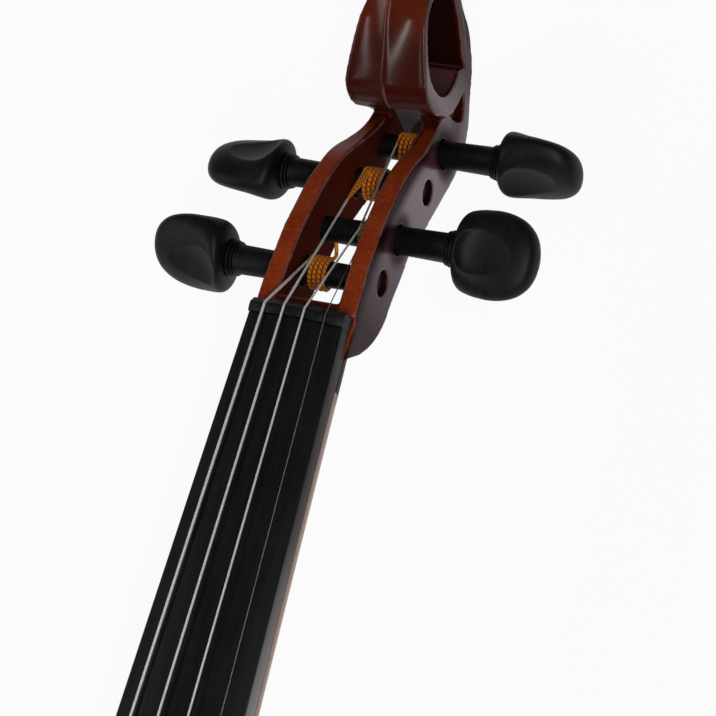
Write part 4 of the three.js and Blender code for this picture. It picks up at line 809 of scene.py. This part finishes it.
def markHead(obj):  # what the finish has to know of each point: its place on the head, and if it is on an edge
    mesh = obj.data
    spots = [v.co * 1000 for v in mesh.vertices]
    sums, counts = [Vector() for _ in spots], [0] * len(spots)
    for line in mesh.edges:
        a, b = line.vertices
        sums[a] += spots[b]
        sums[b] += spots[a]
        counts[a] += 1
        counts[b] += 1
    keys = ("inside", "flank", "edge", "hole", "collar", "vee", "eye", "eyeFloor")
    marks = {key: [0.0] * len(spots) for key in keys}
    rim = smoothLine(flat(eyeFront), 30) + smoothLine(flat(eyeBack), 24)
    at, vee = headMarks, headMarks["vee"]
    for i, vertex in enumerate(mesh.vertices):
        x, y, z = abs(spots[i].x), spots[i].y - boardOrigin["y"], spots[i].z - boardOrigin["z"]
        normal, half = vertex.normal, halfWidth(y)
        bulge = -(sums[i] / max(counts[i], 1) - spots[i]).dot(normal)
        # edge: where a painted highlight goes, on convex edges
        marks["edge"][i] = eased(bulge, *at["edge"])
        if x < 0.7 and head["throat"] < y < at["ridgeUp"][1] and z > -21:  # the foot of the ridge, which gets a painted highlight
            foot = 0.6 * (1 - eased(x, *at["ridgeFoot"])) * (1 - eased(y, *at["ridgeUp"]))
            marks["edge"][i] = max(marks["edge"][i], foot)
        # cavity: the inside of the pegbox and throat, darkened with painted shade
        cavity = eased(half - x, *at["cavityWall"]) * eased(y, *at["cavityUp"]) * (y < 66.4)
        if y >= 61.6:  # above the opening only the throat under the scroll is hollow
            cavity *= eased(-z, *at["cavityDeep"])
        face = eased(abs(normal.x), *at["flankFace"]) * eased(x, *(half - v for v in at["flankSkin"]))
        marks["flank"][i] = face * (1 - cavity)
        marks["inside"][i] = cavity
        away = {key: math.hypot(y - peg["at"][0], z - peg["at"][1]) for key, peg in strings.items()}
        # collar: a painted shadow on the flank round the side's own peg shafts
        own = min(away[key] for key, peg in strings.items() if peg["side"] * spots[i].x > 0)
        marks["collar"][i] = 1 - eased(own, *at["collar"])
        # the walls of the peg holes, where painted shade goes
        holeWall = 1 - eased(abs(normal.x), *at["holeFace"])
        marks["hole"][i] = (1 - eased(min(away.values()), *at["hole"])) * holeWall
        # the V on the throat's end wall, where the painted reflection goes
        if cavity and y > vee["from"]:
            centre, reach = vee["centre"] + vee["lean"] * (z - vee["level"]), vee["slope"] * (z - vee["point"])
            marks["vee"][i] = eased(reach - abs(spots[i].x - centre), 0, 0.5) if reach > 0 else 0
        # in the eye, painted shade on the walls and painted light on the faces that look up
        if y > 66 and x < half - 0.7 and min((p.x - y) ** 2 + (p.y - z) ** 2 for p in rim) < 2.2:
            low = eased(normal.y, *at["eyeFace"])
            marks["eye"][i], marks["eyeFloor"][i] = 1 - low, low
    for key, values in marks.items():
        mesh.attributes.new(key, "FLOAT", "POINT").data.foreach_set("value", values)


def buildHead():
    front = smoothLine([Vector(p) for p in scrollFront], 90)
    outline = [*smoothLine(flat(cheekLine), 40), *flat(throatLine), *flat(front)]
    outline += [*smoothLine(flat(chinLine), 80), Vector((4.1, -6.75))]
    obj = traceLine("scrollHead", [place(-head["blankHalf"], y, z) for y, z in outline])
    bpy.ops.mesh.select_all(action="SELECT")
    bpy.ops.mesh.edge_face_add()
    layer = (mm(2 * head["blankHalf"] / head["layers"]), 0, 0)
    for _ in range(head["layers"]):
        bpy.ops.mesh.extrude_region_move(TRANSFORM_OT_translate={"value": layer})
    bpy.ops.object.mode_set(mode="OBJECT")
    outward(atOrigin(obj))
    pressFront(obj, front)
    right = [(0.5 * w, y) for y, w in head["cut"]]
    outside = right + [(-x, y) for x, y in reversed(right)]
    combined(obj, frontPrism("trim", outside, head["back"], head["front"]), "INTERSECT")
    combined(obj, loftBar("stub", [(8.0, 11.4, 12.7), neckRow(0.0), neckRow(neckShape["joint"] - 3)]), "UNION")
    wide, corner = halfWidth(head["throat"]) - head["cheek"], head["corner"]
    foot, start = halfWidth(head["cavityStart"]) - head["cheek"], head["cavityStart"]
    openings = (("mouth", head["throat"], head["front"]), ("throat", head["throatBack"], -head["throatDepth"]))
    for name, end, top in openings:
        arc = [math.radians(a) for a in range(0, 181, 10)]
        ring = [(wide * math.cos(a), end - corner + corner * math.sin(a)) for a in arc]
        combined(obj, frontPrism(name, [(foot, start), *ring, (-foot, start)], head["back"], top), "DIFFERENCE")
    eye = smoothLine(flat(eyeFront), 60) + smoothLine(flat(eyeBack), 48)[:-1]
    combined(obj, sidePrism("eye", eye, -16, 16), "DIFFERENCE")
    pocket = smoothLine(flat(pocketLine), 40)[1:]
    inside = halfWidth(head["pocketAt"]) - head["pocketWall"]
    for low, high in ((-16, -inside), (inside, 16)):
        combined(obj, sidePrism("pocket", pocket, low, high), "DIFFERENCE")
    for peg in strings.values():
        y, z = peg["at"]
        reach = peg["side"] * (halfWidth(y) + 3)
        for x, radius in ((reach, head["nearHole"]), (-reach, head["farHole"])):
            combined(obj, cylinderAt("hole", place(0, y, z), place(x, y, z), radius), "DIFFERENCE")
    applied(obj, "REMESH", mode="VOXEL", voxel_size=mm(head["voxel"]), use_smooth_shade=True)
    carveFlanks(obj)
    applied(obj, "SMOOTH", factor=0.5, iterations=head["smoothings"])
    markHead(obj)
    return obj


headLacquer = makeHeadLacquer("headLacquer")
scrollHead = dress(buildHead(), headLacquer, "frame", ["neck_and_scroll"])
dress(buildNeck(), finishes["red_lacquer"], "frame", ["neck_and_scroll"])
print("head carved", len(scrollHead.data.polygons))


# Pegs: a turned shaft and collar, and one thumb piece copied to all four

pegShape = {
    "smallRadius": 3.0, "bigRadius": 3.45, "exposed": 12.6, "recess": 1.2, "headLength": 20.4, "headHalf": 10.7,
    "tip": 0.35, "step": 0.2, "cap": 3.2, "headStart": 2.6, "turnSteps": 72, "voxel": 0.3, "smoothings": 3,
    "rings": [(0.0, 3.75), (0.1, 4.1), (0.35, 4.25), (0.6, 4.1), (0.75, 3.85), (0.9, 4.3), (1.15, 4.5), (1.4, 4.35),
              (1.6, 4.05), (1.75, 4.6), (2.05, 4.85), (2.35, 4.7), (2.6, 4.4), (3.2, 4.6)],  # along, radius
    "sections": [(0.0, 0.46, 4.9), (0.02, 0.64, 6.0), (0.05, 0.79, 6.85), (0.1, 0.885, 7.1), (0.16, 0.93, 6.8),
                 (0.25, 0.97, 6.05), (0.35, 0.99, 5.25), (0.45, 1.0, 4.75), (0.55, 0.985, 4.4),
                 (0.65, 0.945, 4.25), (0.75, 0.875, 4.15), (0.84, 0.765, 3.9), (0.92, 0.6, 3.4), (0.97, 0.4, 2.5),
                 (1.0, 0.14, 1.0)],  # share of the length, share of the half width, half thickness
    "dish": (10.6, 9.0, 9.4, 3.2, 6.9),  # centre along, radius along, radius across, radius deep, centre out
}


def thumbPiece():
    sections = smoothLine([Vector(s) for s in pegShape["sections"]], 56)
    letGo()
    bpy.ops.mesh.primitive_circle_add(vertices=96, radius=mm(1), fill_type="NGON", rotation=(0, math.pi / 2, 0))
    obj = bpy.context.object
    obj.name = "thumbPiece"
    bpy.ops.object.mode_set(mode="EDIT")
    share, wide, thick = sections[0]
    wide *= pegShape["headHalf"]
    bpy.ops.transform.resize(value=(1, wide, thick), center_override=(0, 0, 0))
    for nextShare, nextWide, nextThick in sections[1:]:
        nextWide *= pegShape["headHalf"]
        step = mm(pegShape["headLength"] * (nextShare - share))
        bpy.ops.mesh.extrude_region_move(TRANSFORM_OT_translate={"value": (step, 0, 0)})
        at = (mm(pegShape["headLength"] * nextShare), 0, 0)
        bpy.ops.transform.resize(value=(1, nextWide / wide, nextThick / thick), center_override=at)
        share, wide, thick = nextShare, nextWide, nextThick
    bpy.ops.object.mode_set(mode="OBJECT")
    outward(atOrigin(obj))
    along, *radii, out = pegShape["dish"]
    for side in (-1, 1):
        letGo()
        bpy.ops.mesh.primitive_uv_sphere_add(segments=96, ring_count=48, radius=mm(1), scale=radii,
                                             location=(mm(along), 0, mm(side * out)))
        combined(obj, atOrigin(bpy.context.object), "DIFFERENCE")
    return obj


def buildPeg(name, thumb):
    peg = strings[name]
    side, (y, z) = peg["side"], peg["at"]
    half = halfWidth(y)
    small, tip = pegShape["smallRadius"], pegShape["tip"]
    shaft = 2 * half - pegShape["recess"] + pegShape["exposed"]
    growth = (pegShape["bigRadius"] - small) / (2 * half)
    start = half + pegShape["exposed"] - shaft
    end = start + shaft
    profile = [(start, 0), (start, small - tip), (start + tip, small)]
    profile += [(end - pegShape["step"], small + growth * shaft)]
    profile += [(end + along, radius) for along, radius in pegShape["rings"]] + [(end + pegShape["cap"], 0)]
    line = [Vector((mm(along), 0, mm(radius))) for along, radius in profile]
    obj = turnedPiece("pegTurned", line, (1, 0, 0), pegShape["turnSteps"])
    choose(thumb)
    bpy.ops.object.duplicate()
    copy = bpy.context.object
    bpy.ops.transform.translate(value=(mm(end + pegShape["headStart"]), 0, 0))
    atOrigin(copy)
    applied(copy, "REMESH", mode="VOXEL", voxel_size=mm(pegShape["voxel"]))
    applied(copy, "SMOOTH", factor=0.5, iterations=pegShape["smoothings"])
    combined(obj, copy, "UNION")
    spin = Matrix.Rotation(side * math.radians(peg["turn"]), 4, "X")
    if side < 0:
        spin = Matrix.Rotation(math.pi, 4, "Y") @ spin
    obj.matrix_world = Matrix.Translation(place(0, y, z)) @ spin
    atOrigin(obj)
    obj.name = "dressedPeg_" + name
    smoothShade(obj, 32)
    return dress(obj, finishes["ebony"], f"peg_{name}_turn", [f"peg_{name}"])


thumb = thumbPiece()
for name in strings:
    buildPeg(name, thumb)
bpy.data.objects.remove(thumb)
print("pegs turned")


# Strings and their silk windings

winding = {
    "steps": 40,  # to a turn
    "lift": 0.05,  # between peg and silk
    "sides": 6,
    "end": 1.6,  # the straight end past the last turn
    "looseEnd": ((0.2, 0.2, 0.1), (0.5, 0.7, 0.3), (0.55, 1.6, 0.8), (0.35, 2.6, 1.3), (0.25, 3.5, 1.8)),
    "strands": ((0.9, 0.3), (1.9, 0.26)),  # how far across, and how thick
    "strandBow": 0.25,
    "coverSteps": 12,
    "coverLift": 0.04,
}


def silkOf(name):
    return "green_silk" if name == "e" else "orange_silk"


def stringAt(name, spot):  # where a string crosses the nut or the bridge, or ends at the tail
    x = boardSize[spot + "Spread"] * ("gdae".index(name) / 3 - 0.5)
    along, rise = boardSize[spot + "At"]
    return Vector((x, along, rise - fall(x)))


def touchPoint(name):  # where a string that comes from the nut meets its winding
    peg = strings[name]
    y, z = peg["at"]
    share = 0.5 + 0.5 * peg["side"] * peg["start"] / halfWidth(y)
    shaft = pegShape["smallRadius"] + (pegShape["bigRadius"] - pegShape["smallRadius"]) * share
    radius = shaft + winding["lift"] + 0.5 * peg["wire"]
    nut = stringAt(name, "nut")
    toY, toZ = nut.y - y, nut.z - z
    angle = math.atan2(toZ, toY) - math.acos(radius / math.hypot(toY, toZ))
    return radius, angle, Vector((peg["start"], y + radius * math.cos(angle), z + radius * math.sin(angle)))


def tubeAlong(name, points, radius, finish, body, replaces=(), sides=5):
    letGo()
    bpy.ops.curve.primitive_nurbs_path_add(enter_editmode=False, location=(0, 0, 0))
    obj = bpy.context.object
    obj.name = name
    curve = obj.data
    curve.splines.clear()
    spline = curve.splines.new("POLY")
    spline.points.add(len(points) - 1)
    for spot, p in zip(spline.points, points):
        spot.co = (*place(*p), 1)
    curve.bevel_depth = mm(radius)
    curve.bevel_resolution = sides - 1
    curve.use_fill_caps = True
    curve.twist_mode = "MINIMUM"
    choose(obj)
    bpy.ops.object.convert(target="MESH")
    obj = bpy.context.object
    lengths = [0.0]
    for a, b in zip(points, points[1:]):
        lengths.append(lengths[-1] + mm((b - a).length))
    total = len(obj.data.vertices)
    ringSize = total // len(points)
    along = obj.data.attributes.new("along", "FLOAT", "POINT")
    around = obj.data.attributes.new("around", "FLOAT", "POINT")
    for i in range(total):
        along.data[i].value = lengths[min(i // ringSize, len(points) - 1)]
        around.data[i].value = (i % ringSize) / ringSize
    smoothShade(obj, 50)
    return dress(obj, finish, body, replaces)


def windString(name):
    peg = strings[name]
    radius, angle, touching = touchPoint(name)
    y, z = peg["at"]
    coil = []
    for i in range(round(peg["loops"] * winding["steps"]) + 1):
        turn = angle - 2 * math.pi * i / winding["steps"]
        x = peg["start"] + peg["pitch"] * i / winding["steps"]
        coil.append(Vector((x, y + radius * math.cos(turn), z + radius * math.sin(turn))))
    tail = [coil[-1] + (coil[-1] - coil[-2]).normalized() * winding["end"]]
    if name == "g":  # its end has come loose and stands up
        tail = [coil[-1] + Vector(step) for step in winding["looseEnd"]]
    tubeAlong(f"silk_{name}", [*coil, *tail], 0.5 * peg["wire"], finishes[silkOf(name)], f"peg_{name}_turn",
              [f"winding_{name}"], winding["sides"])


def stretchString(name):
    peg = strings[name]
    nut, bridge, tail = (stringAt(name, spot) for spot in ("nut", "bridge", "tail"))
    touching = touchPoint(name)[2]
    over = [Vector(peg["over"])] if "over" in peg else []  # what it bears on between nut and winding
    first = ([*over, touching][0] - nut).normalized()
    lead = (touching - [nut, *over][-1]).normalized()
    down = (bridge - nut).normalized()
    end, bare = touching - lead * 0.3, touching - lead * peg["silk"]
    radius = 0.5 * peg["gauge"]
    points = [bare, *over, *(nut + first * d for d in (1.6, 0.8)), nut + Vector((0, 0, 0.05))]
    points += [nut + down * d for d in (0.8, 1.6)] + [nut + (bridge - nut) * s for s in (0.25, 0.5, 0.75)]
    points += [bridge + Vector((0, d, 0)) for d in (0.8, -0.8)] + [bridge + (tail - bridge) * 0.5, tail]
    metal = finishes["thin_metal" if name == "e" else "string_metal"]
    tubeAlong(f"stringWire_{name}", points, radius, metal, "frame", [f"string_{name}"])
    silk, slot, count = finishes[silkOf(name)], silkOf(name), winding["coverSteps"]
    shares = [i / count for i in range(count + 1)]
    cover = [bare + (end - bare) * share for share in shares]
    tubeAlong(f"silkEnd_{name}", cover, radius + winding["coverLift"], silk, "frame")
    if name == "d":  # its silk has come apart into strands
        for k, (across, thick) in enumerate(winding["strands"]):
            last = end + Vector((across, 0, 0.1))
            bow = [Vector((winding["strandBow"] * math.sin(math.pi * share), 0, 0)) for share in shares]
            strand = [bare + (last - bare) * share + out for share, out in zip(shares, bow)]
            tubeAlong(f"silkStrand_{k}", strand, thick, silk, "frame")


for name in strings:
    windString(name)
    stretchString(name)
print("strings wound")


# The other wooden, metal and moulded pieces: the CAD shape with its edges eased

softEdges = {  # how wide the edges are rounded, in millimetres
    "nut": 0.7, "fingerboard": 0.3, "body_block": 2.0, "rim_bass": 2.2, "rim_treble": 2.2, "bridge": 0.3,
    "bridge_pickup": 0.2, "tailpiece": 0.7, "saddle": 0.5, "end_button": 0.7, "chin_rest": 1.2,
    "chin_rest_body_cork": 0.3, "chin_rest_rim_cork": 0.3, "clamp_bracket": 0.4, "clamp_jaw": 0.4, "clamp_cork": 0.3,
    "clamp_barrel_1": 0.3, "clamp_barrel_2": 0.3, "volume_knob": 0.7, "tone_knob": 0.7, "power_switch": 0.3,
    "headphone_jack": 0.3, "output_jack": 0.4, "battery_drawer": 0.5, "battery": 0.8, "back_cover": 0.7,
    "circuit_board": 0.15,
}
easing = {"flat": 2, "sharp": 28, "smooth": 40, "segments": 3}  # angles in degrees
for letter in strings:
    softEdges.update({f"tuner_lever_{letter}": 0.25, f"tuner_stem_{letter}": 0.15, f"tuner_knob_{letter}": 0.35})
for number in range(1, 5):
    softEdges[f"cover_screw_{number}"] = 0.2
bodyOf = {name: body for body, names in frame["record"]["behaviour"]["bodies"].items() for name in names}


def easeEdges(name, width):  # works on a copy, because a CAD piece's own mesh is left alone
    source = nodes[name]
    obj = bpy.data.objects.new("eased_" + name, source.data.copy())
    scene.collection.objects.link(obj)
    editing(obj)
    bpy.ops.mesh.remove_doubles(threshold=weldGap)
    bpy.ops.mesh.dissolve_limited(angle_limit=math.radians(easing["flat"]))
    bpy.ops.object.mode_set(mode="OBJECT")
    applied(obj, "BEVEL", width=mm(width), segments=easing["segments"], limit_method="ANGLE",
            angle_limit=math.radians(easing["sharp"]))
    smoothShade(obj, easing["smooth"])
    return dress(obj, source.material_slots[0].material, bodyOf[name], [name])


for name, width in softEdges.items():
    easeEdges(name, width)
print("edges eased on", len(softEdges), "pieces")


# Floor

def buildFloor():
    letGo()
    bpy.ops.mesh.primitive_plane_add(size=studio["floorSize"], location=(0, 0, 0))
    floor = bpy.context.object
    floor.name = "floor"
    f = Finish("floorPaper", Roughness=studio["floorRoughness"])
    f.shader.inputs["Base Color"].default_value = (*studio["floorColour"], 1)
    glow = f.node("Emission", Color=(1, 1, 1))
    seen, mirrored = (f.node("LightPath", out=ray) for ray in ("Is Camera Ray", "Is Glossy Ray"))
    share = seen * studio["floorGlow"] + mirrored * studio["floorMirror"]
    mixed = f.node("MixShader", n0=share, n1=Wire(f.tree, f.shader.outputs[0]), n2=glow)
    f.tree.links.new(mixed.socket, f.tree.nodes["Material Output"].inputs["Surface"])
    floor.data.materials.append(f.material)


buildFloor()
setCamera()
buildStudio()
scene.view_settings.view_transform = "Standard"
print("camera and studio ready")
